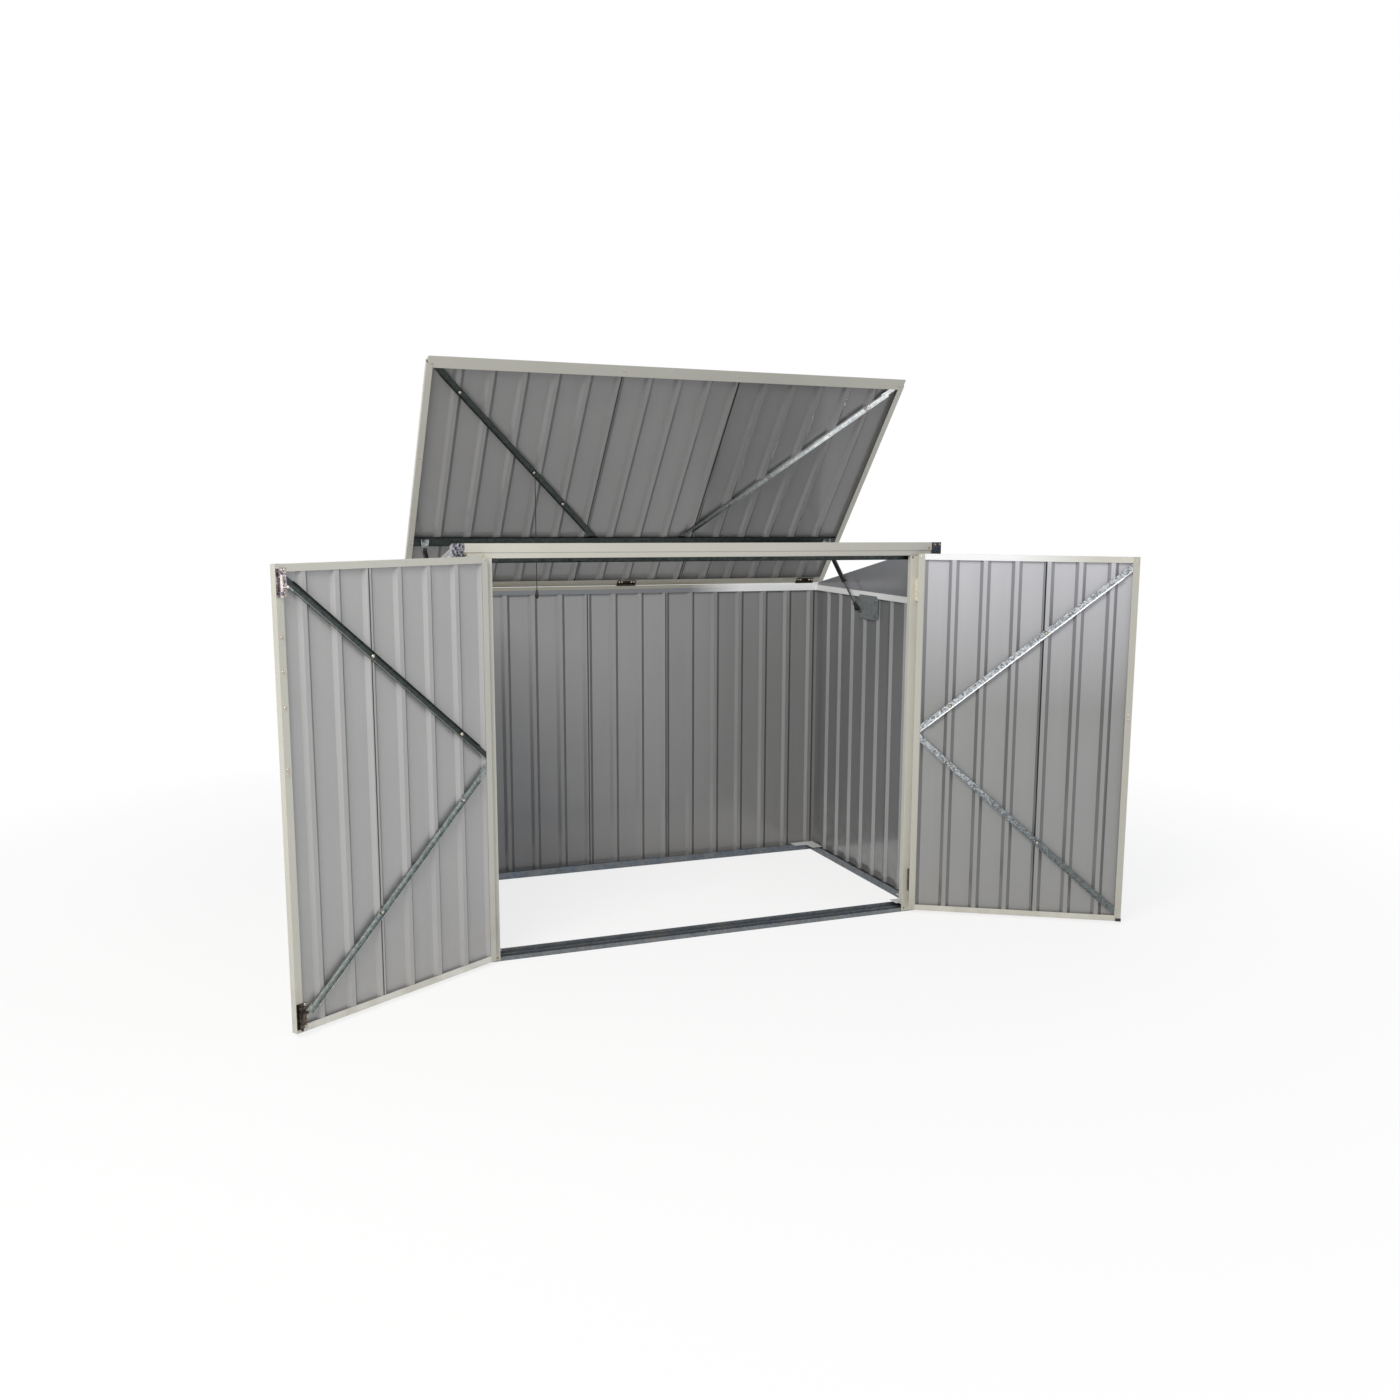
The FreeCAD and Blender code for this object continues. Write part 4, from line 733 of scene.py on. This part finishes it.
# %% Brace steels
BRACE_ENDS = (22.5, 712.5)
UPPER_BRACE, LOWER_BRACE = (668, 1237), (634, 47)
upper_slope = math.atan2(UPPER_BRACE[1] - UPPER_BRACE[0], BRACE_ENDS[1] - BRACE_ENDS[0])


def fold_painted_highlight(bench, place, half_width, colour):
    """A painted highlight along a door's upper brace, place millimetres above the brace's middle.
    """
    square_to_it = direction_of(bench, (-math.sin(upper_slope), 0, math.cos(upper_slope)))
    start = bench @ Vector((BRACE_ENDS[0], 0, UPPER_BRACE[0]))
    return start, square_to_it, place, half_width, colour


# The braces' colours, dark in some places and pale in others, are painted reflections, and each
# door's bright fold line is a painted highlight.
lid_braces_painted_reflections = spangled_zinc(
    "galvanised_steel_lid_braces", *DARK_REFLECTION_PAIR, 7, 0.3, 0.4, edge="#7F8A88", edge_highlight_share=0.15,
    beyond=("X", 0.15, 0.6, "#FFFFFF", "#DDE3E5"),
)
left_braces_painted_reflections = spangled_zinc(
    "galvanised_steel_left_door_braces", "#A6AEAD", "#808886", 7, 0.3, 0.4, edge="#DDE4E2",
    edge_highlight_share=0.6, beyond=("Z", 0.64, 0.66, *DARK_REFLECTION_PAIR),
    painted_highlight_line=fold_painted_highlight(left_door, -8.5, 2.2, "#8E9592"),
)
right_braces_painted_reflections = spangled_zinc(
    "galvanised_steel_right_door_braces", "#737A7C", "#50575A", 5, 0.24, 0.36, edge="#E4E8EB",
    edge_highlight_share=0.4, beyond=("Z", 0.2, 0.7, "#DADEE2", "#6C7176"),
    painted_highlight_line=fold_painted_highlight(right_door, -8.7, 1.5, "#F4F6F8"),
)
print("upper door braces climb", round(math.degrees(upper_slope), 1), "degrees")


# %% [markdown]
# ## Plated fittings and glossy caps
# Bolts, screws and hinges are electroplated: a thin, finer-grained zinc, bright or passivated
# yellow. The slide bolts and the door hinges' knuckles are drawn near white high up, a painted
# highlight, and dark low down. The hinge knuckles' chromate film is matt, so metallic is 0
# there. The header's moulded caps are so glossy that they mirror the sky in patches, like a
# dark metal, so the same cells draw them, a painted reflection that is pale on the left cap.

# %% Plated steels and caps
bright_zinc = spangled_zinc("zinc_plated_steel", "#C9C3B4", "#B3AA98", 3, 0.24, 0.34)
yellow_zinc = spangled_zinc("yellow_passivated_zinc", "#A88F63", "#7C6A4C", 3, 0.3, 0.42)
# The near white high up on the slide bolts and the hinge knuckles is a painted highlight.
bolt_housings_painted_highlight = spangled_zinc(
    "zinc_plated_bolt_housings", "#57504A", "#221E1F", 4, 0.25, 0.4, edge="#8B857D",
    edge_highlight_share=0.25, beyond=("Z", 0.5, 0.7, "#BDB5B8", "#3A3336"),
)
bolt_rods_painted_highlight = spangled_zinc(
    "zinc_plated_bolt_rods", "#443D39", "#221E1F", 6, 0.25, 0.4, edge="#8B857D",
    edge_highlight_share=0.25, beyond=("Z", 0.5, 0.7, "#FFF8F6", "#D9C2BD"),
)
knuckles_painted_highlight = spangled_zinc(
    "chromated_zinc_hinge_knuckles", "#665B4C", "#2E2820", 4, 0.35, 0.5, edge="#8B7F6A",
    edge_highlight_share=0.2, beyond=("Z", 0.3, 0.6, "#FBF3DF", "#A89B82"), metallic=0.0,
)
dark_hinge = spangled_zinc(
    "oiled_hinge_steel", "#4B443C", "#2A2622", 4, 0.3, 0.45, edge="#8E877C", edge_highlight_share=0.3
)
# The pale cells on the left cap and the white edges are a painted reflection of the sky.
caps_painted_reflections = spangled_zinc(
    "glossy_black_header_caps", "#B2B1BC", "#14141B", 5, 0.2, 0.35, edge="#FFFFFF",
    edge_highlight_share=0.2, beyond=("X", -0.1, 0.1, "#3C4047", "#2A2D32"),
)
print("plated:", [m.name for m in (bright_zinc, yellow_zinc, bolt_rods_painted_highlight, knuckles_painted_highlight)])


# %% [markdown]
# ## Painted sunlight on zinc
# The top rails and the corner plates are so bright in the photograph that no spangle shows, so
# they are drawn matt, with the powder coat's function and near-white regions: on the side rails
# the faces that look up and those of the right one that look in, and on the back rail the right
# part of what shows from inside.

# %% Sunlit zinc
# The near white on these rails, on the corner plates and on the back rail's right part is painted
# sunlight.
sunlit_zinc = powder_coat(
    "zinc_side_top_rails_in_the_sun", "#C3C6C8", "#FFFFFF",
    ([("looks Z", 0.3, 0.5)], "#F0F1F2"), ([("looks X", -0.3, -0.5), ("X", 0.0, 0.1)], "#F6F7F8"),
)
corner_zinc = powder_coat("zinc_corner_plates_in_the_sun", "#F6F7F8", "#FFFFFF")
from_inside = ("looks Y", 0.5, 0.3)
back_rail_painted_sun = powder_coat(
    "weathered_zinc_back_top_rail", "#7A7D82", "#9A9B9C",
    ([("Z", 1.1025, 1.1035), from_inside], "#98958A"),
    ([("X", 0.26, 0.48), from_inside], "#F6F7F8"),
)
print("sunlit:", [m.name for m in (sunlit_zinc, corner_zinc, back_rail_painted_sun)])


# %% [markdown]
# ## Moulded black plastic and black tube
# The door's corner cap is moulded polypropylene: black, with a painted grey highlight on the
# edges where the light grazes it, and a fine spark-eroded grain. The gas springs' barrels are
# steel tube under semi-gloss black paint, so they are smoother and sharper.

# %% Black plastic and black paint
PAINTED_EDGE_HIGHLIGHT_GREY = "#4A4A4A"
DUSTY_BLACK = "#3A3833"
# Sizes in millimetres.
BLACK_DUST_PATCH = 35
BLACK_DULL_PATCH = 12
BLACK_ROUND = 0.8


def black_finish(name, colour, grain, depth, smooth, rough):
    """A nearly black surface, greyer on its edges as a painted highlight: grain is its bump's size
    and depth its height in millimetres, and the roughness wanders from smooth to rough."""
    material, tree, shader, at = new_material(name, Roughness=smooth)
    where = at["Object"]
    edges, rounded = edge_mask(tree, BLACK_ROUND)
    # The grey on the edges is a painted highlight.
    body = blended(tree, times(tree, edges, 0.5), colour, PAINTED_EDGE_HIGHLIGHT_GREY)
    dusty = times(tree, fractal(tree, where, BLACK_DUST_PATCH, 4), 0.25)
    body = blended(tree, dusty, body, DUSTY_BLACK)
    dull = patchy(tree, where, BLACK_DULL_PATCH, 4, smooth, rough)
    plug(tree, shader, Base_Color=body, Roughness=dull)
    bumped_over(tree, shader, rounded, (fractal(tree, where, grain, 2), depth, 0.3))
    return material


black_plastic = black_finish("black_polypropylene_moulded", "#1B1B1C", 1.2, 0.05, 0.45, 0.6)
black_tube = black_finish("black_painted_tube", "#101012", 8, 0.02, 0.22, 0.32)
toggle_plastic = black_finish("dark_moulded_toggle", "#221C1A", 2, 0.03, 0.3, 0.42)
print("made", black_plastic.name, black_tube.name, toggle_plastic.name)


# %% [markdown]
# ## The gas spring's rod and its socket
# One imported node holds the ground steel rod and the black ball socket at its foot. They differ
# only in where they are along the rod, so the material measures that: the dot product of the
# position, counted from the ball, with the rod's direction. Below the socket's neck it is
# moulded plastic, and above it ground steel.

# %% Rod and socket
# Sizes in millimetres.
SOCKET_NECK = 28
SOCKET_SEAM = 0.3  # to either side of the neck
ROD_ROUND = 0.6
ROD_GRAIN = 6


def rod_finish(name, side):
    """Ground steel beyond SOCKET_NECK millimetres from the ball, and black plastic before it."""
    material, tree, shader, at = new_material(name)
    where = at["Object"]
    ball = Vector(joints[f"{side}_spring_turn"]["pos_m"])
    line = Vector(joints[f"{side}_spring_stroke"]["axis"])
    along = distance_along(tree, where, ball, line)
    steel = spread(tree, along, SOCKET_NECK - SOCKET_SEAM, SOCKET_NECK + SOCKET_SEAM, 0.0, 1.0)
    grain = fractal(tree, where, ROD_GRAIN, 3)
    bright = blended(tree, grain, "#A9ABAD", "#8B8E91")
    black = blended(tree, grain, "#161617", "#232323")
    plastic_blur = spread(tree, grain, 0.3, 0.7, 0.42, 0.55)
    steel_blur = spread(tree, grain, 0.3, 0.7, 0.12, 0.2)
    blur = add(tree, "ShaderNodeMix", {0: steel, 2: plastic_blur, 3: steel_blur}).outputs[0]
    base = blended(tree, steel, black, bright)
    plug(tree, shader, Base_Color=base, Metallic=steel, Roughness=blur)
    bumped_over(tree, shader, rounded_normal(tree, ROD_ROUND), (grain, 0.02, 0.2))
    return material


rods = {side: rod_finish(f"{side}_ground_rod_and_socket", side) for side in ("left", "right")}
print("made", [m.name for m in rods.values()])


# %% [markdown]
# ## Which piece wears what
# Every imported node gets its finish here, by name. Names that begin like a coil coat's panel
# take that coat, and everything not listed is powder-coated trim.

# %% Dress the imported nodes
FINISHES = {
    plate_steel: ("spring_wall_plates",),
    galvanised: ("spring_lid_brackets", "hasp_plate", "hasp_strap", "hasp_staple"),
    bolt_housings_painted_highlight: ("slide_bolt_housings",),
    bolt_rods_painted_highlight: ("slide_bolt_top", "slide_bolt_bottom"),
    sunlit_zinc: ("top_rails_side",),
    corner_zinc: ("base_corner_plates",),
    back_rail_painted_sun: ("top_rail_back",),
    galvanised_painted_dark_reflection: ("header_inner_channel", "lid_mid_rail"),
    lid_braces_painted_reflections: ("lid_braces",),
    left_braces_painted_reflections: ("left_door_braces",),
    right_braces_painted_reflections: ("right_door_braces",),
    weathered: ("base_rail_back", "base_rails_side"),
    front_rail_steel: ("base_rail_front",),
    knuckles_painted_highlight: ("door_hinge_frame_leaves", "left_door_hinge_leaves", "right_door_hinge_leaves"),
    dark_hinge: ("lid_hinge_back_leaves", "lid_hinge_leaves", "hinge_pins"),
    black_plastic: ("corner_cap",),
    caps_painted_reflections: ("header_end_caps",),
    header_painted_shade: ("header",),
    lid_trims_painted_shade: ("lid_front_channel", "lid_side_channels"),
    hinge_rail_painted_shade: ("lid_hinge_rail",),
    right_rails_painted_highlight: ("right_door_rails",),
    left_rails_painted_light: ("left_door_rails",),
    stiles_painted_shade: ("right_door_stiles", "left_door_stiles"),
    black_tube: ("left_spring_barrel", "right_spring_barrel"),
    rods["left"]: ("left_spring_rod",),
    rods["right"]: ("right_spring_rod",),
    toggle_plastic: ("cord_toggle",),
    gable_coat: ("gable_left", "gable_right"),
}
finish_by_node = {node: material for material, nodes in FINISHES.items() for node in nodes}


def finish_of(node):
    """The listed finish, or the panel's coil coat by the name's beginning, or powder coat."""
    for prefix, material in coil_coats.items():
        if node.startswith(prefix):
            return material
    return finish_by_node.get(node, cream_powder_coat)


for name, node in frame["nodes"].items():
    node.data.materials.clear()
    node.data.materials.append(finish_of(name))
print("dressed", len(frame["nodes"]), "nodes")


# %% [markdown]
# ## Fasteners as turned shapes
# A rivet's dome, a bolt's hexagon with its washer and a pan-head screw are all profiles turned
# about an axis. We compute one as a grid, ring by ring, and then lay copies of the whole grid
# wherever the maker drilled a hole, all in one array step. Each place is a bench matrix, a point
# on the bench and the direction the head looks in.

# %% Turned and repeated surfaces


def head_frame(bench, point, looks):
    """A matrix in metres whose Z is the way the head looks, at a bench point in millimetres."""
    place = bench @ Vector(point)
    z = (bench.to_3x3() @ Vector(looks)).normalized()
    x = z.orthogonal().normalized()
    y = z.cross(x)
    turn = Matrix((x, y, z)).transposed().to_4x4()
    return np.array(Matrix.Translation(place) @ turn @ to_metres)


def turned_grid(profile, sides, phase, dent):
    """One head: ring point = (r cos a, r sin a, h - dent(x, y)), with poles at both ends. Returns
    its points, the triangles round its poles and the quads between its rings."""
    rings = np.array(profile, float)
    angle = phase + np.arange(sides) * 2 * np.pi / sides
    inner = rings[1:-1]
    x = inner[:, :1] * np.cos(angle)
    y = inner[:, :1] * np.sin(angle)
    h = np.broadcast_to(inner[:, 1:], x.shape).copy()
    tip = rings[-1, 1]
    if dent:
        h -= dent(x, y)
        tip -= dent(0.0, 0.0)
    ring_points = np.stack([x, y, h], -1).reshape(-1, 3)
    points = np.vstack([[0, 0, rings[0, 1]], ring_points, [0, 0, tip]])
    around = np.arange(sides)
    after = (around + 1) % sides
    first = 1 + around
    last = 1 + (len(inner) - 1) * sides + around
    foot = np.stack([np.zeros_like(around), 1 + after, first], 1)
    cap = np.stack([last, last - around + after, np.full_like(around, len(points) - 1)], 1)
    row = 1 + np.arange(len(inner) - 1)[:, None] * sides
    a, b = row + around, row + after
    quads = np.stack([a, b, b + sides, a + sides], -1).reshape(-1, 4)
    return points, foot, cap, quads


def turned_copies(name, profile, sides, places, material, phase=0.0, dent=None):
    """Copies of a turned head in one mesh: each copy's points are its place's matrix times the
    grid's, and its faces count on from the copy before."""
    points, foot, cap, quads = turned_grid(profile, sides, phase, dent)
    frames = np.array(places)
    solid = np.c_[points, np.ones(len(points))]
    laid = np.einsum("nij,pj->npi", frames, solid)[..., :3].reshape(-1, 3)
    step = np.arange(len(frames))[:, None, None] * len(points)
    triangles = np.concatenate([(foot + step).reshape(-1, 3), (cap + step).reshape(-1, 3)])
    faces = triangles.tolist() + (quads + step).reshape(-1, 4).tolist()
    mesh = bpy.data.meshes.new(name)
    mesh.from_pydata(laid.tolist(), [], faces)
    mesh.materials.append(material)
    return new_object(name, mesh)


def smooth_by_angle(piece, degrees=35):
    """Smooth shading, except across edges sharper than the angle."""
    piece.data.polygons.foreach_set("use_smooth", np.ones(len(piece.data.polygons), bool))
    piece.data.set_sharp_from_angle(angle=math.radians(degrees))
    return piece


# Each profile is a list of (radius, height above the sheet) in millimetres.
FLUSH = [(0, -0.2), (4.0, -0.2), (4.0, 0.15), (3.6, 0.35), (2.0, 0.4), (0, 0.4)]
DOME = [(0, -0.2), (4.0, -0.2), (4.0, 0.25), (3.7, 0.7), (2.9, 1.15), (1.8, 1.45), (1.0, 1.5)]
DOME += [(0.85, 1.05), (0, 1.0)]
PAN = [(0, -0.2), (4.2, -0.2), (4.3, 0.5), (4.0, 1.4), (3.2, 2.1), (2.4, 2.3), (1.6, 2.35)]
PAN += [(0.8, 2.4), (0, 2.4)]
WASHER = [(0, -0.1), (6.5, -0.1), (6.7, 0.2), (6.5, 1.1), (5.9, 1.3), (0, 1.3)]
HEXAGON = [(0, 1.2), (5.0, 1.2), (5.6, 1.6), (5.6, 4.4), (5.0, 5.1), (3.2, 5.3), (0, 5.3)]
RIVET_SIDES, SCREW_SIDES, NUT_SIDES = 16, 24, 6
SLOT_HALF_WIDTH, SLOT_REACH, SLOT_DEPTH = 0.5, 2.6, 1.2


def cross_recess(x, y):
    """A cross slot: SLOT_DEPTH where min(|x|, |y|) is under half an arm's width, within reach."""
    arm = np.minimum(np.abs(x), np.abs(y)) < SLOT_HALF_WIDTH
    inside = np.hypot(x, y) < SLOT_REACH
    return np.where(arm & inside, SLOT_DEPTH, 0.0)


print("points in the profiles:", [len(p) for p in (FLUSH, DOME, PAN, WASHER, HEXAGON)])


# %% [markdown]
# ## Rivets and screws of the lid
# Seen from below, the lid's lips show small rivets where its channels meet, where the sheets
# lap and along the hinge rail, and the screws of its three hinges. Positions are bench
# millimetres: across, up the slope, and out of the lid. Underside heads look down, along -Z.

# %% Lid fasteners
DOWN = (0, 0, -1)
UNDER = 3.5  # the lips' underside on the lid's bench
LEAF = 1.2  # how far a hinge leaf stands below the lips
HINGE_MIDDLES = (-760, 0, 760)
HINGE_SCREW_PAIRS = ((-30, 30), (-19, 19))
HINGE_SCREW_UP = 13


def on_lid(points, depth=UNDER):
    """Head frames on the lid's underside for (across, up the slope) points."""
    return [head_frame(lid, (x, -t, depth), DOWN) for x, t in points]


def both(points):
    """Each point and its mirror image."""
    return points + [(-x, y) for x, y in points]


lid_rivets = both([(205, 985), (830, 978), (835, 213), (835, 230), (216, 8), (480, 8), (835, 600)])
lid_rivet_heads = turned_copies("lid_rivets", DOME, RIVET_SIDES, on_lid(lid_rivets), bright_zinc)
hinge_screws = [
    (middle + side, HINGE_SCREW_UP)
    for pair in HINGE_SCREW_PAIRS for middle in HINGE_MIDDLES for side in pair
]
hinge_places = on_lid(hinge_screws, UNDER - LEAF)
lid_hinge_heads = turned_copies(
    "lid_hinge_screws", PAN, SCREW_SIDES, hinge_places, bright_zinc, 0.3, cross_recess
)
for heads in (lid_rivet_heads, lid_hinge_heads):
    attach(smooth_by_angle(heads), "lid")
print("lid:", len(lid_rivets), "rivets", len(hinge_screws), "hinge screws")


# %% [markdown]
# ## Bolts of the diagonal braces
# Each brace is bolted through the sheet: on the doors where it crosses the first and the fourth
# rib, and on the lid at three distances up the slope. The head sits in the brace's channel with
# a washer under it. How far across it sits follows from the straight line between the brace's
# two ends, so we name the ends and interpolate.

# %% Brace bolts
INTO_STORE = (0, -1, 0)
DOOR_FIRST_RIB, RIB_PITCH = 122, 105.5
LID_BRACE_ALONG, LID_BRACE_ACROSS = (240.5, 960.5), (172, 811)
LID_BOLTS = (404, 544, 870)
BOLTED_RIBS = (0, 3)
SHEET_DROP, RIB_RISE, GAUGE, BRACE_PLATE = 18, 9, 0.6, 1
LID_WEB = UNDER + SHEET_DROP - RIB_RISE - GAUGE - BRACE_PLATE  # the braces' web on the bench


def between(value, ends, results):
    """Straight-line interpolation: where value lies between ends, carried over to results."""
    share = (value - ends[0]) / (ends[1] - ends[0])
    return results[0] + share * (results[1] - results[0])


door_bolt_points = []
for rib in BOLTED_RIBS:
    d = DOOR_FIRST_RIB + rib * RIB_PITCH
    for line in (UPPER_BRACE, LOWER_BRACE):
        door_bolt_points.append((d, 0, between(d, BRACE_ENDS, line)))
lid_bolt_points = [(between(t, LID_BRACE_ALONG, LID_BRACE_ACROSS), t) for t in LID_BOLTS]
bolt_places = {
    "left_door": [head_frame(left_door, p, INTO_STORE) for p in door_bolt_points],
    "right_door": [head_frame(right_door, p, INTO_STORE) for p in door_bolt_points],
    "lid": on_lid(both(lid_bolt_points), LID_WEB),
}
for body, places in bolt_places.items():
    washers = turned_copies(f"{body}_brace_washers", WASHER, SCREW_SIDES, places, galvanised_painted_dark_reflection)
    hexagons = turned_copies(f"{body}_brace_bolts", HEXAGON, NUT_SIDES, places, bright_zinc, 0.4)
    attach(smooth_by_angle(washers), body)
    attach(smooth_by_angle(hexagons, 20), body)
print("bolts:", {body: len(places) for body, places in bolt_places.items()})


# %% [markdown]
# ## Screws and rivets of the doors
# The left door carries the slide bolts and the staple, so its free stile has the most heads.
# The corners of each door frame are riveted through the stile's lip, with nearly flush heads,
# since only a millimetre stays free between the shut door and the jamb.

# %% Door fasteners
FREE_STILE = 724
BOLT_PLATE = 1.2


def on_door(bench, points, depth=0.0):
    """Head frames on a door's inner face for (out from the hinge edge, height) points."""
    return [head_frame(bench, (d, depth, z), INTO_STORE) for d, z in points]


corner_points = [(11, 22), (11, 1262), (727, 36), (727, 1260)]
left_screw_points = [(FREE_STILE, z) for z in (1084, 994, 900, 736, 724)]
bolt_plate_points = [(708, z) for z in (1191, 1257, 27, 89)]
right_rivet_points = [(FREE_STILE, z) for z in (738, 722)]
RIVETS = (RIVET_SIDES, None)
SCREWS = (SCREW_SIDES, cross_recess)
door_heads = {
    "left_door": [
        ("corner_rivets", FLUSH, *RIVETS, on_door(left_door, corner_points)),
        ("stile_screws", PAN, *SCREWS, on_door(left_door, left_screw_points)),
        ("bolt_plate_screws", PAN, *SCREWS, on_door(left_door, bolt_plate_points, -BOLT_PLATE)),
    ],
    "right_door": [
        ("corner_rivets", FLUSH, *RIVETS, on_door(right_door, corner_points)),
        ("stile_rivets", DOME, *RIVETS, on_door(right_door, right_rivet_points)),
    ],
}
for body, groups in door_heads.items():
    for name, profile, sides, dent, places in groups:
        heads = turned_copies(f"{body}_{name}", profile, sides, places, bright_zinc, 0.4, dent)
        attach(smooth_by_angle(heads), body)
counts = {body: sum(len(group[-1]) for group in groups) for body, groups in door_heads.items()}
print("door heads:", counts)


# %% [markdown]
# ## Screws and rivets of the store itself
# On the fixed frame the eye finds the rivets at the header's ends, brown flush screws at the
# feet and heads of the jambs, and a column of screws near the front of each gable. The gas
# spring's plate is bolted on at its four corners.

# %% Store fasteners
TO_FRONT = (0, -1, 0)
HEADER_FACE = -477.5
JAMB_FACE = -480
GABLE_FACE = 819
GABLE_SCREWS = [(-296, z) for z in range(1236, 1147, -22)]
PLATE_FACE = 810.2
PLATE_NUTS = [(y, z) for z in (1079, 1021) for y in (-64, 64)]

header_spots = [(-797, HEADER_FACE, 1276), (-745, HEADER_FACE, 1271), (760, HEADER_FACE, 1270)]
header_spots += [(x, JAMB_FACE, z) for x, z in ((790, 1291), (813, 1302), (831, 1302))]
header_rivets = [head_frame(store, spot, TO_FRONT) for spot in header_spots]
jamb_spots = [(x, 13) for x in (-729, 729, -829, 829)] + [(-740, 1259), (727, 1259)]
jamb_screws = [head_frame(store, (x, JAMB_FACE, z), TO_FRONT) for x, z in jamb_spots]
gable_places = []
nut_places = []
for sign in (-1, 1):
    inward = (-sign, 0, 0)
    gable_places += [head_frame(store, (sign * GABLE_FACE, *spot), inward) for spot in GABLE_SCREWS]
    nut_places += [head_frame(store, (sign * PLATE_FACE, *spot), inward) for spot in PLATE_NUTS]
store_heads = {
    "header_rivets": (DOME, RIVET_SIDES, header_rivets, yellow_zinc),
    "jamb_screws": (FLUSH, SCREW_SIDES, jamb_screws, yellow_zinc),
    "gable_screws": (PAN, SCREW_SIDES, gable_places, bright_zinc, 0.2, cross_recess),
    "spring_plate_washers": (WASHER, SCREW_SIDES, nut_places, bright_zinc),
    "spring_plate_bolts": (HEXAGON, NUT_SIDES, nut_places, galvanised, 0.2),
}
for name, settings in store_heads.items():
    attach(smooth_by_angle(turned_copies(name, *settings)), "store")
print("store heads:", {name: len(settings[2]) for name, settings in store_heads.items()})


# %% [markdown]
# ## The pull cord
# The cord is a braided line that hangs dead straight under its toggle, so its curve is a
# straight spline from the knot to the toggle. Two families of slanting strands make the braid:
# each is a sine of the height plus or minus the way across, and their product is the relief.

# %% Braided cord
CORD_ALONG = 540
KNOT_BELOW_WEB = 4.3
KNOT_FLAT = 3.7
CORD_LENGTH = 395
CORD_DIAMETER = 3
FUZZ = 1

cord_across = -between(CORD_ALONG, LID_BRACE_ALONG, LID_BRACE_ACROSS)
knot_centre = lid @ Vector((cord_across, -CORD_ALONG, LID_WEB - KNOT_BELOW_WEB))
cord_top = knot_centre - Vector((0, 0, KNOT_FLAT * MM))
cord_foot = cord_top - Vector((0, 0, CORD_LENGTH * MM))


def braided(name, strand):
    """Polyester braid: strands crossing both ways, each strand millimetres wide."""
    material, tree, shader, at = new_material(name, Roughness=0.8)
    where = at["Object"]
    parts = axes(tree, where)
    across = sums(tree, "ADD", parts["X"], parts["Y"])
    weave = []
    for sense in (-1.0, 1.0):
        slant = sums(tree, "ADD", parts["Z"], times(tree, across, sense))
        turns = times(tree, slant, 2 * math.pi * per_mm(2 * strand))
        weave.append(sums(tree, "SINE", turns, 0.0))
    height = times(tree, weave[0], weave[1])
    raised = spread(tree, height, -1.0, 1.0, 0.0, 1.0)
    # The darker hollows between the raised strands are painted shade.
    tint = blended(tree, raised, "#262120", "#3B3534")
    plug(tree, shader, Base_Color=tint, Roughness=patchy(tree, where, FUZZ, 2, 0.7, 0.9))
    true = add(tree, "ShaderNodeNewGeometry").outputs["Normal"]
    bumped_over(tree, shader, true, (height, 0.25, 0.6))
    return material


cord_braid = braided("braided_polyester_cord", 1.2)
cord_curve = bpy.data.curves.new("pull_cord_line", "CURVE")
cord_curve.dimensions = "3D"
cord_curve.bevel_depth = CORD_DIAMETER / 2 * MM
cord_curve.bevel_resolution = 5
cord_curve.use_fill_caps = True
spline = cord_curve.splines.new("NURBS")
route = [cord_top.lerp(cord_foot, share) for share in (0.0, 0.33, 0.67, 1.0)]
spline.points.add(len(route) - 1)
for spot, place in zip(spline.points, route):
    spot.co = (*place, 1)
spline.order_u = 3
spline.use_endpoint_u = True
cord_curve.materials.append(cord_braid)
cord_line = new_object("pull_cord_line", cord_curve)
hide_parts("pull_cord")
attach(cord_line, "pull_cord")
frame["nodes"]["cord_knot"].data.materials[0] = cord_braid
print("cord from", [round(c, 3) for c in cord_top], "to", [round(c, 3) for c in cord_foot])


# %% Measure the dressed box and finish
dressed_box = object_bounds()
grown = (np.array(dressed_box) - np.array(cad_box)) * METRE
print("grown by (mm):", grown.round(2).tolist())
